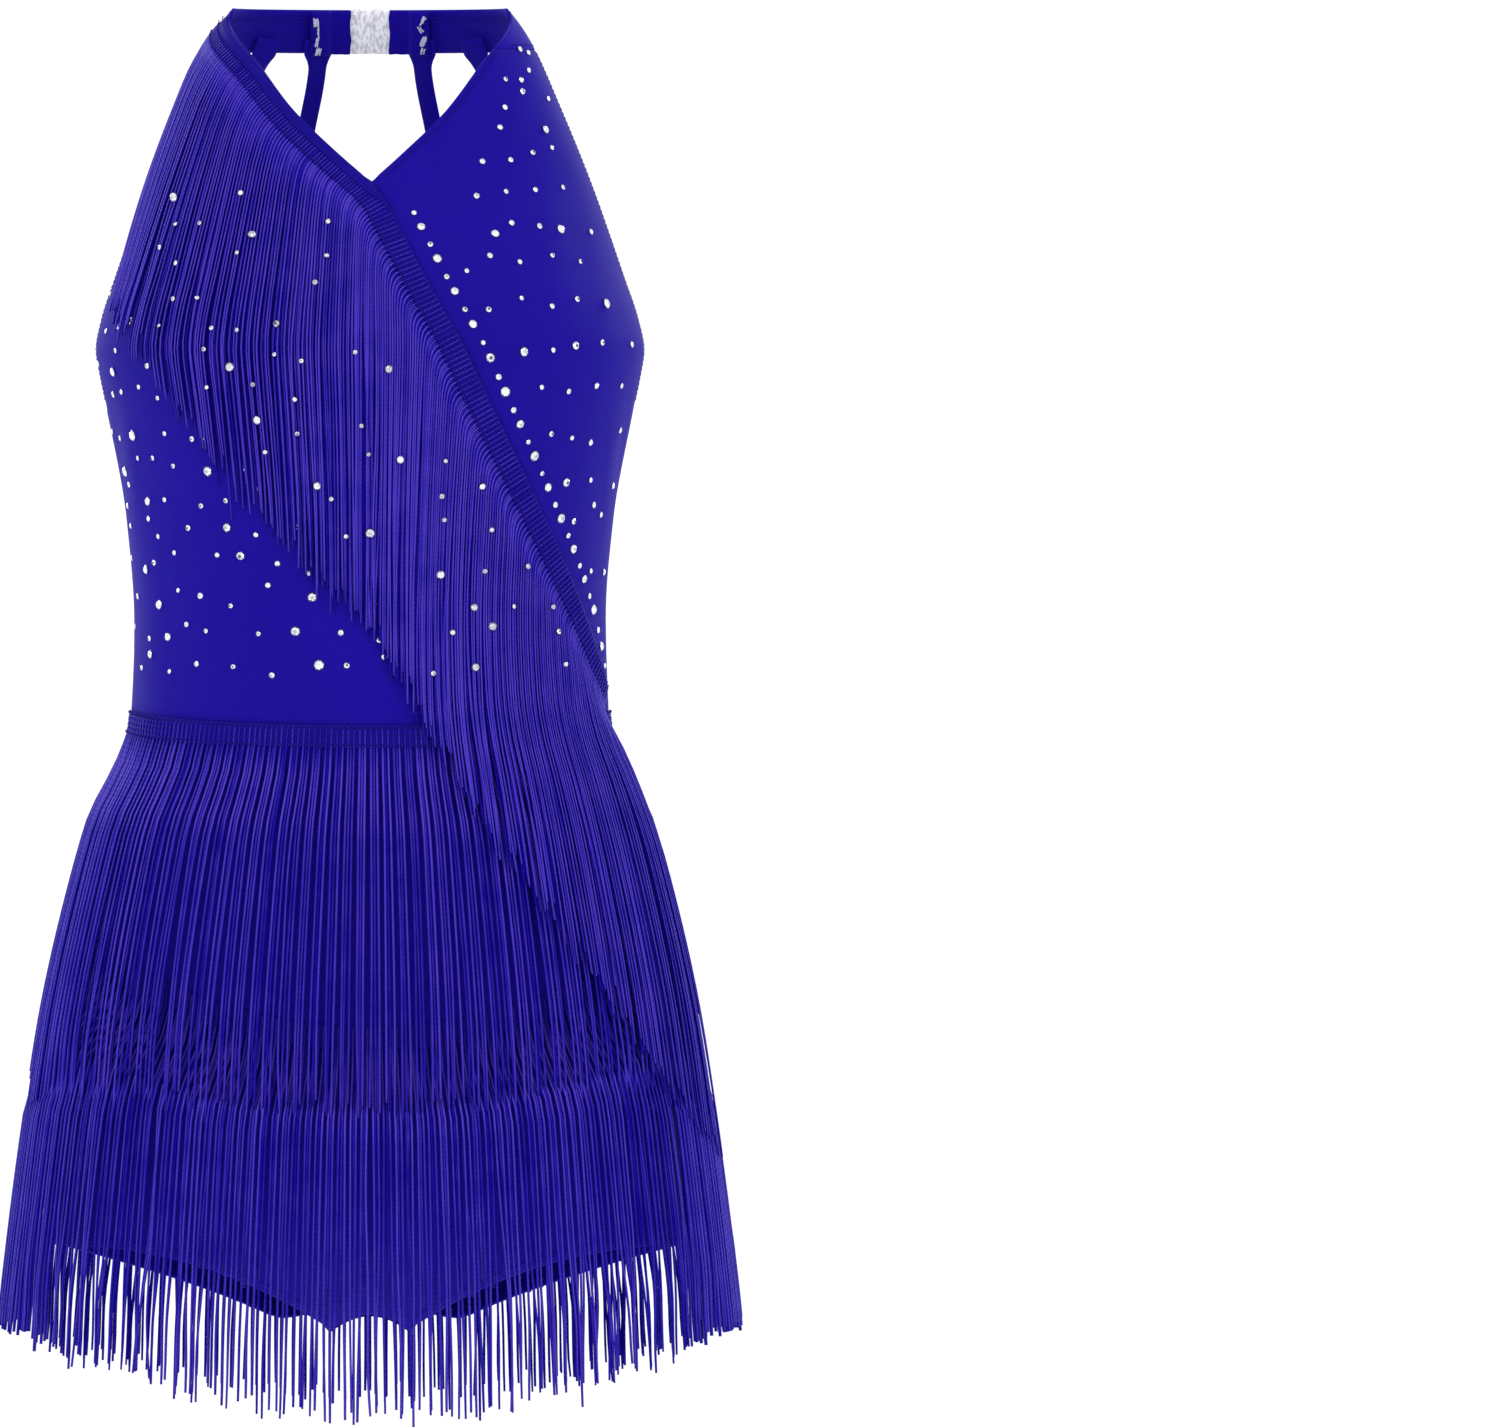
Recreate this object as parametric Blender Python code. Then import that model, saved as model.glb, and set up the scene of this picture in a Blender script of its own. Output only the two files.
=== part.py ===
"""Latin dance leotard at real size: halter bodice, strappy open back, brief and six rows of fringe.

The garment is hollow, filled out as when worn. +Z is up, the front faces -Y, and the origin is the
middle of the neck opening, level with the middle of the collar band. Sizes below are in millimetres.
A place on the cloth is a turn and a height: the turn is in degrees round the body, 0 at the middle of
the front, 90 at the side on +X and 180 at the middle of the back.
"""

import math
import random
from collections import namedtuple

import bmesh
import bpy
from mathutils import Vector

MM = 0.001
SHARP_ANGLE = 50.0
PROBE = 0.5
Section = namedtuple("Section", "height half_width front back")
Reach = namedtuple("Reach", "height reach")
Turn = namedtuple("Turn", "height turn")
Inset = namedtuple("Inset", "height inset")
Tier = namedtuple("Tier", "name side locks top_middle top_side length insets")

# Cloth and seams
WALL = 1.5
COLLAR_WALL = 2.0
HEM_WALL = 1.0
HEM_WIDTH = 6.0
SEAM_GAP = 0.3
LYING_GAP = 0.35

# Heights of the main lines
COLLAR_TOP = 13.0
COLLAR_SEAM = -8.8
VEE = -78.5
ARMPIT = -195.5
BACK_EDGE = -252.2
OVERLAP_END = -343.0
WAIST = -352.5
WAIST_DIP_FRONT = 8.0
WAIST_DIP_BACK = 33.0
DIP_START = -300.0

# The body that the cloth is cut for, from the collar down to the crotch
BODY = [
    Section(13.0, 71.5, 45.0, 48.0),
    Section(2.0, 79.5, 48.5, 53.0),
    Section(-8.8, 86.0, 52.0, 58.0),
    Section(-35.0, 97.5, 60.0, 72.0),
    Section(-78.5, 115.0, 75.0, 86.0),
    Section(-128.0, 132.5, 98.0, 94.0),
    Section(-149.0, 139.5, 105.0, 94.5),
    Section(-165.0, 142.5, 108.0, 93.5),
    Section(-178.0, 140.5, 108.0, 92.0),
    Section(-195.0, 137.0, 106.5, 89.5),
    Section(-253.0, 126.6, 95.5, 80.0),
    Section(-305.0, 122.5, 87.0, 71.5),
    Section(-353.0, 124.0, 86.5, 75.0),
    Section(-388.0, 130.0, 89.5, 84.0),
    Section(-451.0, 143.0, 94.5, 101.0),
    Section(-529.0, 156.0, 94.0, 111.0),
    Section(-592.0, 162.0, 86.0, 108.0),
    Section(-630.0, 164.0, 76.0, 98.0),
    Section(-654.0, 164.0, 61.0, 84.0),
    Section(-676.0, 162.0, 42.0, 62.0),
]

# Heights at which a hanging lock bends, close together where the body is rounder
RING_HEIGHTS = [-20.0, -44.0, -78.0, -105.0, -130.0, -150.0, -165.0, -180.0, -200.0, -253.0, -305.0,
                -345.0, -384.0, -430.0, -503.0, -555.0, -607.0]

# The outside of the fringe: it lies on the bodice and flares away from the brief
FRINGE_LIES = 2.4
FLARE = [
    Section(-345.0, 127.5, 90.8, 79.0),
    Section(-365.0, 132.0, 94.2, 84.5),
    Section(-388.0, 140.5, 98.5, 92.0),
    Section(-430.0, 153.7, 106.0, 104.0),
    Section(-503.0, 171.0, 113.0, 121.0),
    Section(-555.0, 179.5, 116.5, 128.0),
    Section(-607.0, 186.7, 119.5, 133.0),
    Section(-669.0, 194.0, 123.0, 138.0),
    Section(-722.0, 199.0, 126.0, 141.0),
]
FLARE_TOP = -310.0
OUTSIDE = [
    Section(row.height, *(size + FRINGE_LIES for size in row[1:]))
    for row in BODY
    if row.height > FLARE_TOP
] + FLARE

# Edges of the front: how far the neckline lies from the middle, and where the crossing seam turns to
NECKLINE = [
    Reach(13.0, 71.2),
    Reach(7.3, 74.0),
    Reach(-17.7, 57.2),
    Reach(-42.0, 39.0),
    Reach(-65.0, 15.6),
    Reach(-78.5, 0.6),
]
CROSSING = [
    Turn(-78.5, 0.6),
    Turn(-90.5, 4.3),
    Turn(-136.8, 14.2),
    Turn(-183.6, 24.4),
    Turn(-248.6, 44.0),
    Turn(-294.8, 61.9),
    Turn(-338.0, 82.0),
    Turn(-345.0, 89.7),
]
SIDE_TURN = 89.9
WRAP_COLUMNS = 15
OVERLAP_COLUMNS = 8
NECK_ROWS = 5
FRONT_ROWS = 19
NARROW = 1.0
NARROW_HEM_SHARE = 0.3
BACK_COLUMNS = 20
BACK_ROWS = 8
BACK_EDGE_BEND = 1.3
WAIST_DIP_BEND = 1.6

# Straps of the open back, as distances from the middle
INNER_STRAP = [
    Reach(-1.0, 27.6),
    Reach(-13.0, 28.0),
    Reach(-53.0, 35.0),
    Reach(-101.0, 42.5),
    Reach(-246.5, 62.5),
]
OUTER_STRAP = [
    Reach(-1.0, 54.0),
    Reach(-13.0, 59.0),
    Reach(-40.0, 72.0),
    Reach(-76.0, 84.0),
    Reach(-102.0, 92.0),
    Reach(-154.0, 107.0),
    Reach(-181.0, 113.5),
    Reach(-226.0, 116.5),
]
STRAP_WIDTH = 9.5
STRAP_WALL = 1.6
STRAP_ROWS = 13
STRAP_UNDER_COLLAR = 0.8
STRAP_UNDER_HEM = 0.7
ROUTE_STEP = 2.0

# Crotch and leg openings
LEG_SIDE = -630.0
LEG_FRONT_LOW = -674.0
LEG_FRONT_NOTCH = 8.0
LEG_FRONT_BEND = 2.2
LEG_BACK_LOW = -670.0
LEG_BACK_NOTCH = 20.0
LEG_BACK_LOBE = 48.0
LEG_BACK_BEND = 0.8
LEG_BACK_ROUND = 0.05
LEG_HALF_WIDTH = 163.5
BRIEF_ROWS = 8
BRIEF_ROWS_BEND = 1.4
BRIEF_SIDE_COLUMNS = 8
CROTCH_COLUMNS = 4
GUSSET_ROWS = 6
GUSSET_FRONT = 20.0
GUSSET_BACK = 27.0
GUSSET_SAG = 3.0

# Clasp and the turned-back band ends beside it
CLASP_HALF_WIDTH = 10.0
CLASP_HEIGHT = 24.5
TAB_WALL = 1.0
COLLAR_ROWS = 3
COLLAR_COLUMNS = 14
RIB_LOW = 1.2
RIB_HIGH = 1.7
RIBS = 3
PLATE_IN = -1.4

# Outlines of the two lips that hook behind each other, seen from above
LipPoint = namedtuple("LipPoint", "across depth")
HOOK_LIP = [
    LipPoint(-1.6, RIB_LOW),
    LipPoint(-1.6, -0.3),
    LipPoint(-0.4, -0.3),
    LipPoint(-0.4, 0.3),
    LipPoint(2.2, 0.3),
    LipPoint(2.2, PLATE_IN),
]
EYE_LIP = [
    LipPoint(1.6, PLATE_IN),
    LipPoint(1.6, -0.1),
    LipPoint(0.3, -0.1),
    LipPoint(0.3, -0.7),
    LipPoint(-2.1, -0.7),
]

# The band's end comes back from the clasp and climbs over the inner strap, to be tacked on its far side
TabStep = namedtuple("TabStep", "reach inwards")
TAB = [
    TabStep(10.3, 2.35),
    TabStep(16.0, 2.35),
    TabStep(20.5, 2.35),
    TabStep(22.6, 4.85),
    TabStep(27.0, 4.85),
    TabStep(32.0, 4.85),
]

# Fringe tapes and locks
TAPE_WIDTH = 12.0
TAPE_OUT = 2.0
TAPE_IN = 0.6
LOCK_WALL = 2.0
LOCK_SHARE = 0.74
LOCK_TIP_SHARE = 0.72
RING_CLEAR = 9.0
ROOT_BLEND = 45.0
RAGGED = 5.0
DIAGONAL_LOCKS = 40
DIAGONAL_TOP = 9.0
DIAGONAL_END = -339.0
DIAGONAL_STEPS = 200
DIAGONAL_AIM = 0.03
DIAGONAL_SIDE_TURN = 89.4
SETTLE_TURN = -64.0
SETTLE = 0.58
TAPE_ABOVE_SEAM = 0.6

# How far a lock of the diagonal row hangs below its tape, by the turn at which it hangs
Drop = namedtuple("Drop", "turn drop")
DIAGONAL_DROPS = [
    Drop(84.0, 238.0),
    Drop(64.0, 232.0),
    Drop(37.0, 209.0),
    Drop(20.0, 193.0),
    Drop(8.0, 197.0),
    Drop(-6.0, 214.0),
    Drop(-30.0, 190.0),
    Drop(-53.0, 148.0),
    Drop(-84.0, 130.0),
]

TIER_BEND = 2.0
# A tier with no height of its own starts at the waist seam. An inset says how far inside it hangs
TIERS = [
    Tier("waist_fringe_front", "front", 32, None, None, 186.0, [Inset(-353.0, 3.2)]),
    Tier("waist_fringe_back", "back", 32, None, None, 138.0, [Inset(-353.0, 1.3)]),
    Tier("middle_fringe_back", "back", 30, -428.0, -397.0, 149.0,
         [Inset(-541.0, 4.6), Inset(-566.0, 1.3)]),
    Tier("lower_fringe_front", "front", 32, -516.0, -469.0, 188.0,
         [Inset(-568.0, 6.4), Inset(-602.0, 1.3)]),
    Tier("lower_fringe_back", "back", 32, -511.0, -470.0, 188.0,
         [Inset(-541.0, 7.9), Inset(-566.0, 4.6), Inset(-597.0, 4.6), Inset(-628.0, 1.3)]),
]

# Finishes: colour, roughness, metallic
FINISHES = {
    "cloth": ((0.021, 0.008, 0.352), 0.55, 0.0),
    "trim": ((0.019, 0.007, 0.322), 0.6, 0.0),
    "fringe": ((0.028, 0.012, 0.392), 0.42, 0.0),
    "clear_plastic": ((0.78, 0.78, 0.82), 0.18, 0.0),
}


def read(rows, height, column=1):
    """Reads a table whose first column falls, on a smooth curve that never overshoots the table's rows."""
    if height >= rows[0][0] or len(rows) == 1:
        return rows[0][column]
    if height <= rows[-1][0]:
        return rows[-1][column]
    after = next(i for i, row in enumerate(rows) if row[0] < height)

    def rise(i):
        return (rows[i + 1][column] - rows[i][column]) / (rows[i + 1][0] - rows[i][0])

    def slope(i):
        if i == 0:
            return rise(0)
        if i == len(rows) - 1:
            return rise(i - 1)
        if rise(i - 1) * rise(i) <= 0:
            return 0.0
        return 2 * rise(i - 1) * rise(i) / (rise(i - 1) + rise(i))

    before = after - 1
    span = rows[after][0] - rows[before][0]
    t = (height - rows[before][0]) / span
    start, end = rows[before][column], rows[after][column]
    bend = (1 - t) * (slope(before) * span - (end - start)) + t * ((end - start) - slope(after) * span)
    return (1 - t) * start + t * end + t * (1 - t) * bend


def surface(table, turn, height):
    """The point of a tapering oval tube at a turn and a height, in millimetres."""
    angle = math.radians(turn)
    depth = read(table, height, 2 if math.cos(angle) > 0 else 3)
    return Vector((read(table, height, 1) * math.sin(angle), -depth * math.cos(angle), height))


def outward(table, turn, height):
    """The direction that points out of the tube there."""
    across = surface(table, turn + PROBE, height) - surface(table, turn - PROBE, height)
    up = surface(table, turn, height + PROBE) - surface(table, turn, height - PROBE)
    return across.cross(up).normalized()


def on_body(turn, height, out=0.0):
    return surface(BODY, turn, height) + outward(BODY, turn, height) * out


def degrees_for(distance, turn, height):
    """How many degrees of turn make this distance round the body."""
    across = surface(BODY, turn + PROBE, height) - surface(BODY, turn - PROBE, height)
    return distance * 2 * PROBE / across.length


def turn_at(reach, height):
    """The turn at which the body is this far to the side of its middle."""
    return math.degrees(math.asin(min(1.0, reach / read(BODY, height, 1))))


def mix(a, b, t):
    return a + (b - a) * t


def ease(t):
    t = min(1.0, max(0.0, t))
    return t * t * (3 - 2 * t)


def spread(start, end, steps):
    return [mix(start, end, i / steps) for i in range(steps + 1)]


def make(name, points, faces, finish):
    """One object from points in millimetres, shaded smooth but for its sharp rims."""
    mesh = bpy.data.meshes.new(name)
    mesh.from_pydata([tuple(point * MM) for point in points], [], faces)
    mesh.validate()
    mesh.shade_smooth()
    mesh.set_sharp_from_angle(angle=math.radians(SHARP_ANGLE))
    mesh.materials.append(MATERIALS[finish])
    thing = bpy.data.objects.new(name, mesh)
    bpy.context.scene.collection.objects.link(thing)
    return thing


def wall(name, outer, inner, finish):
    """A closed cloth wall between two grids of points. Rows run down, columns to the right from outside."""
    rows, columns = len(outer), len(outer[0])
    size = rows * columns

    def at(row, column, layer=0):
        return layer * size + row * columns + column

    faces = []
    for row in range(rows - 1):
        for column in range(columns - 1):
            square = [(row, column), (row + 1, column), (row + 1, column + 1), (row, column + 1)]
            faces.append([at(r, c) for r, c in square])
            faces.append([at(r, c, 1) for r, c in square[:1] + square[:0:-1]])
    rim = [(row, 0) for row in range(rows)]
    rim += [(rows - 1, column) for column in range(1, columns)]
    rim += [(row, columns - 1) for row in range(rows - 2, -1, -1)]
    rim += [(0, column) for column in range(columns - 2, 0, -1)]
    for here, there in zip(rim, rim[1:] + rim[:1]):
        faces.append([at(*there), at(*here), at(*here, 1), at(*there, 1)])
    points = [point for grid in (outer, inner) for line in grid for point in line]
    return make(name, points, faces, finish)


def body_wall(name, places, finish, out=0.0, thickness=WALL):
    """A wall on the body from a grid of (turn, height) places."""
    outer = [[on_body(turn, height, out) for turn, height in line] for line in places]
    inner = [[on_body(turn, height, out - thickness) for turn, height in line] for line in places]
    return wall(name, outer, inner, finish)


def hem(name, places):
    """A turned hem on the inner face, from the same places as the panel's edge."""
    return body_wall(name, places, "trim", -(WALL + LYING_GAP), HEM_WALL)


def waist_height(turn):
    """Height of the waist seam, which dips towards the middle of the front and further at the back."""
    level = math.cos(math.radians(turn))
    if level > 0:
        return WAIST - WAIST_DIP_FRONT * level
    return WAIST - WAIST_DIP_BACK * (-level) ** WAIST_DIP_BEND


def back_edge_height(turn):
    """Height of the low back's upper edge."""
    return BACK_EDGE + (ARMPIT - BACK_EDGE) * (abs(turn - 180) / 90) ** BACK_EDGE_BEND


def leg_front_height(turn):
    """Height of the brief's lower edge at the front, lowest beside the gusset."""
    reach = abs(LEG_HALF_WIDTH * math.sin(math.radians(turn)))
    if reach < GUSSET_FRONT:
        return LEG_FRONT_LOW + LEG_FRONT_NOTCH * (1 - (reach / GUSSET_FRONT) ** 2)
    share = (reach - GUSSET_FRONT) / (LEG_HALF_WIDTH - GUSSET_FRONT)
    return LEG_FRONT_LOW + (LEG_SIDE - LEG_FRONT_LOW) * (1 - (1 - share) ** LEG_FRONT_BEND)


def leg_back_height(turn):
    """Height of the brief's lower edge at the back, lowest at each side of a notch."""
    reach = abs(LEG_HALF_WIDTH * math.sin(math.radians(turn)))
    if reach < LEG_BACK_LOBE:
        return LEG_BACK_LOW + LEG_BACK_NOTCH * (1 - reach / LEG_BACK_LOBE) ** 2
    share = (reach - LEG_BACK_LOBE) / (LEG_HALF_WIDTH - LEG_BACK_LOBE)
    rise = share**2 * (1 + LEG_BACK_ROUND) / (share + LEG_BACK_ROUND)
    return LEG_BACK_LOW + (LEG_SIDE - LEG_BACK_LOW) * rise**LEG_BACK_BEND


def front_row(height, start, end, steps):
    """One row of a front panel, with a hem's width beside each edge. The lowest rows dip with the waist."""
    inner_start = start + degrees_for(HEM_WIDTH, start, height)
    inner_end = end - degrees_for(HEM_WIDTH, end, height)
    if inner_end - inner_start < NARROW:
        inner_start = mix(start, end, NARROW_HEM_SHARE)
        inner_end = mix(end, start, NARROW_HEM_SHARE)
    turns = [start] + spread(inner_start, inner_end, steps - 2) + [end]
    dip = WAIST_DIP_FRONT * max(0.0, (DIP_START - height) / (DIP_START - WAIST))
    return [(turn, height - dip * math.cos(math.radians(turn))) for turn in turns]


def seam_turn(height):
    """The right-hand limit of the wrap panel: neckline above the vee, crossing seam below it."""
    if height > VEE:
        return -turn_at(read(NECKLINE, height), height)
    return read(CROSSING, height) - degrees_for(SEAM_GAP / 2, 0, height)


def make_front_panels():
    """The wrap panel, from one shoulder to the whole width of the waist, and the other shoulder's panel."""
    top = COLLAR_SEAM - SEAM_GAP
    rows = spread(top, VEE, NECK_ROWS) + spread(VEE, OVERLAP_END, FRONT_ROWS)[1:]
    wrap_rows = rows + spread(OVERLAP_END, WAIST, 1)[1:]
    wrap = []
    for height in wrap_rows:
        end = SIDE_TURN if height < OVERLAP_END else seam_turn(height)
        wrap.append(front_row(height, -SIDE_TURN, end, WRAP_COLUMNS))
    body_wall("front_wrap_panel", wrap, "cloth")
    hem("neckline_hem_right", [line[-2:] for line in wrap[: NECK_ROWS + 1]])
    armhole_rows = next(i for i, height in enumerate(wrap_rows) if height < ARMPIT)
    hem("armhole_hem_right", [line[:2] for line in wrap[:armhole_rows]])

    def crossing_start(height):
        if height > VEE:
            return turn_at(read(NECKLINE, height), height)
        return read(CROSSING, height) + degrees_for(SEAM_GAP / 2, 0, height)

    over = [front_row(height, crossing_start(height), SIDE_TURN, OVERLAP_COLUMNS) for height in rows]
    body_wall("front_overlap_panel", over, "cloth")
    hem("neckline_hem_left", [line[:2] for line in over[: NECK_ROWS + 1]])
    hem("armhole_hem_left", [line[-2:] for line in over[:armhole_rows]])


def make_back_panel():
    """The low back, from its curved edge to the waist seam."""
    turns = spread(180 - SIDE_TURN, 180 + SIDE_TURN, BACK_COLUMNS)
    places = []
    for share in spread(0.0, 1.0, BACK_ROWS):
        places.append([(turn, mix(back_edge_height(turn), waist_height(turn), share)) for turn in turns])
    hem_row = [(turn, back_edge_height(turn) - HEM_WIDTH) for turn in turns]
    places.insert(1, hem_row)
    body_wall("back_panel", places, "cloth")
    hem("back_edge_hem", places[:2])


def brief_turns(middle, crotch_reach):
    """Turns across half of the brief, with columns at the gusset's corners."""
    corner = math.degrees(math.asin(crotch_reach / LEG_HALF_WIDTH))
    side = spread(-SIDE_TURN, -corner, BRIEF_SIDE_COLUMNS)
    centre = spread(-corner, corner, CROTCH_COLUMNS)[1:-1]
    return [middle + turn for turn in side + centre + [-turn for turn in reversed(side)]]


def make_brief():
    """Front and back of the brief, their leg hems, and the gusset between them."""
    for side, middle, crotch, leg_height in (
        ("front", 0, GUSSET_FRONT, leg_front_height),
        ("back", 180, GUSSET_BACK, leg_back_height),
    ):
        turns = brief_turns(middle, crotch)
        places = []
        for share in [step**BRIEF_ROWS_BEND for step in spread(0.0, 1.0, BRIEF_ROWS)]:
            line = []
            for turn in turns:
                top, bottom = waist_height(turn) - SEAM_GAP, leg_height(turn)
                line.append((turn, mix(top, bottom, share)))
            places.append(line)
        places.insert(len(places) - 1, [(turn, leg_height(turn) + HEM_WIDTH) for turn in turns])
        body_wall(f"brief_{side}", places, "cloth")
        hem(f"leg_hem_{side}_a", [line[: BRIEF_SIDE_COLUMNS + 1] for line in places[-2:]])
        hem(f"leg_hem_{side}_b", [line[-BRIEF_SIDE_COLUMNS - 1 :] for line in places[-2:]])
    make_gusset()


def make_gusset():
    """The crotch piece, bridging the two lower edges and sagging a little between them."""
    front_corner = math.degrees(math.asin(GUSSET_FRONT / LEG_HALF_WIDTH))
    back_corner = math.degrees(math.asin(GUSSET_BACK / LEG_HALF_WIDTH))
    outer, inner = [], []
    for share in spread(0.0, 1.0, GUSSET_ROWS):
        outer_line, inner_line = [], []
        for side in spread(-1.0, 1.0, CROTCH_COLUMNS):
            front_turn, back_turn = side * front_corner, 180 - side * back_corner
            front_height = leg_front_height(front_turn) - 2 * SEAM_GAP
            back_height = leg_back_height(back_turn) - 2 * SEAM_GAP
            start, end = on_body(front_turn, front_height), on_body(back_turn, back_height)
            point = mix(start, end, share) + Vector((0, 0, -GUSSET_SAG * 4 * share * (1 - share)))
            normal = (
                outward(BODY, front_turn, front_height) * (1 - share) ** 2
                + Vector((0, 0, -1)) * 2 * share * (1 - share)
                + outward(BODY, back_turn, back_height) * share**2
            ).normalized()
            outer_line.append(point)
            inner_line.append(point - normal * WALL)
        outer.append(outer_line)
        inner.append(inner_line)
    wall("gusset", outer, inner, "cloth")


def make_collar():
    """The neckband in two halves, each with its end turned back beside the clasp, on the inner face."""
    heights = spread(COLLAR_TOP, COLLAR_SEAM, COLLAR_ROWS)
    for name, sign in (("left", 1), ("right", -1)):
        places, tab_outer, tab_inner = [], [], []
        for height in heights:
            start = turn_at(read(NECKLINE, height), height)
            end = 180 - turn_at(CLASP_HALF_WIDTH + SEAM_GAP, height)
            line = [(sign * turn, height) for turn in spread(start, end, COLLAR_COLUMNS)]
            places.append(line[::sign])
            tab = [(sign * (180 - turn_at(step.reach, height)), step.inwards) for step in TAB][::-sign]
            tab_outer.append([on_body(turn, height, -inwards) for turn, inwards in tab])
            tab_inner.append([on_body(turn, height, -inwards - TAB_WALL) for turn, inwards in tab])
        body_wall(f"collar_{name}", places, "cloth", 0.0, COLLAR_WALL)
        wall(f"collar_tab_{name}", tab_outer, tab_inner, "trim")


def strap_turn(route, sign, height):
    return 180 - sign * turn_at(read(route, height), height)


def make_straps():
    """Four narrow straps from inside the collar to inside the back edge."""
    top_out = -(COLLAR_WALL + STRAP_UNDER_COLLAR)
    bottom_out = -(WALL + LYING_GAP + HEM_WALL + STRAP_UNDER_HEM)
    for name, route, sign in (
        ("strap_outer_left", OUTER_STRAP, 1),
        ("strap_inner_left", INNER_STRAP, 1),
        ("strap_inner_right", INNER_STRAP, -1),
        ("strap_outer_right", OUTER_STRAP, -1),
    ):
        outer, inner = [], []
        for share in spread(0.0, 1.0, STRAP_ROWS):
            height = mix(route[0].height, route[-1].height, share)
            turn = strap_turn(route, sign, height)
            centre = on_body(turn, height, mix(top_out, bottom_out, ease(share)))
            normal = outward(BODY, turn, height)
            above = strap_turn(route, sign, height + ROUTE_STEP), height + ROUTE_STEP
            below = strap_turn(route, sign, height - ROUTE_STEP), height - ROUTE_STEP
            across = (surface(BODY, *below) - surface(BODY, *above)).cross(normal).normalized()
            edges = [centre - across * STRAP_WIDTH / 2, centre + across * STRAP_WIDTH / 2]
            outer.append(edges[::-1])
            inner.append([edge - normal * STRAP_WALL for edge in edges[::-1]])
        wall(name, outer, inner, "trim")


def ribs(start, end):
    """Outline of a plate's ribbed face, from start to end across the clasp."""
    across = spread(start, end, 2 * RIBS)
    return [(x, RIB_HIGH if i % 2 else RIB_LOW) for i, x in enumerate(across)]


def make_clasp():
    """The clear plastic clasp: two ribbed plates whose lips hook behind each other."""
    middle = mix(COLLAR_TOP, COLLAR_SEAM, 0.5)
    centre = on_body(180, middle, -COLLAR_WALL / 2)
    out = outward(BODY, 180, middle)
    up = (surface(BODY, 180, middle + 1) - surface(BODY, 180, middle - 1)).normalized()
    edge = CLASP_HALF_WIDTH
    hook = [(edge, PLATE_IN)] + ribs(edge, HOOK_LIP[-1].across) + HOOK_LIP
    eye = [(-edge, PLATE_IN)] + EYE_LIP + ribs(EYE_LIP[-1].across, -edge)
    for name, profile in (("clasp_hook", hook), ("clasp_eye", eye)):
        points = [
            centre + Vector((x, 0, 0)) + out * depth + up * end * CLASP_HEIGHT / 2
            for end in (-1, 1)
            for x, depth in profile
        ]
        count = len(profile)
        ring = list(range(count))
        faces = [ring[::-1], [i + count for i in ring]]
        faces += [[i, (i + 1) % count, (i + 1) % count + count, i + count] for i in ring]
        clasp = make(name, points, faces, "clear_plastic")
        face_out(clasp)


def face_out(thing):
    """Turns a closed object's faces outwards."""
    shape = bmesh.new()
    shape.from_mesh(thing.data)
    bmesh.ops.recalc_face_normals(shape, faces=shape.faces)
    shape.to_mesh(thing.data)
    shape.free()


def lock_rings(left, right, end, insets, settle, rng):
    """Rings of a four-sided lock below its root, whose left and right corners are given as places.

    Where settle is above 0, locks that start past SETTLE_TURN drift back towards it as they fall.
    """
    root = min(left[1], right[1])
    tip = end + rng.uniform(-RAGGED, RAGGED)
    heights = [height for height in RING_HEIGHTS if tip + RING_CLEAR < height < root - RING_CLEAR] + [tip]
    middle = (left[0] + right[0]) / 2
    half = (right[0] - left[0]) / 2
    root_mean = (left[1] + right[1]) / 2
    rings = []
    for height in heights:
        share = (root - height) / (root - tip)
        reach = half * mix(1.0, LOCK_TIP_SHARE, share)
        blend = ease((root_mean - height) / ROOT_BLEND)
        ring = []
        for turn, face in ((-reach, 1), (reach, 1), (reach, -1), (-reach, -1)):
            turn += middle
            turn += settle * share * max(0.0, SETTLE_TURN - turn)
            normal = outward(OUTSIDE, turn, height)
            hanging = surface(OUTSIDE, turn, height) - normal * read(insets, height)
            if blend < 1:
                lying = on_body(turn, height, (TAPE_OUT + TAPE_IN) / 2)
                hanging = mix(lying, hanging, blend)
            ring.append(hanging + normal * face * LOCK_WALL / 2)
        rings.append(ring)
    return rings


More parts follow.
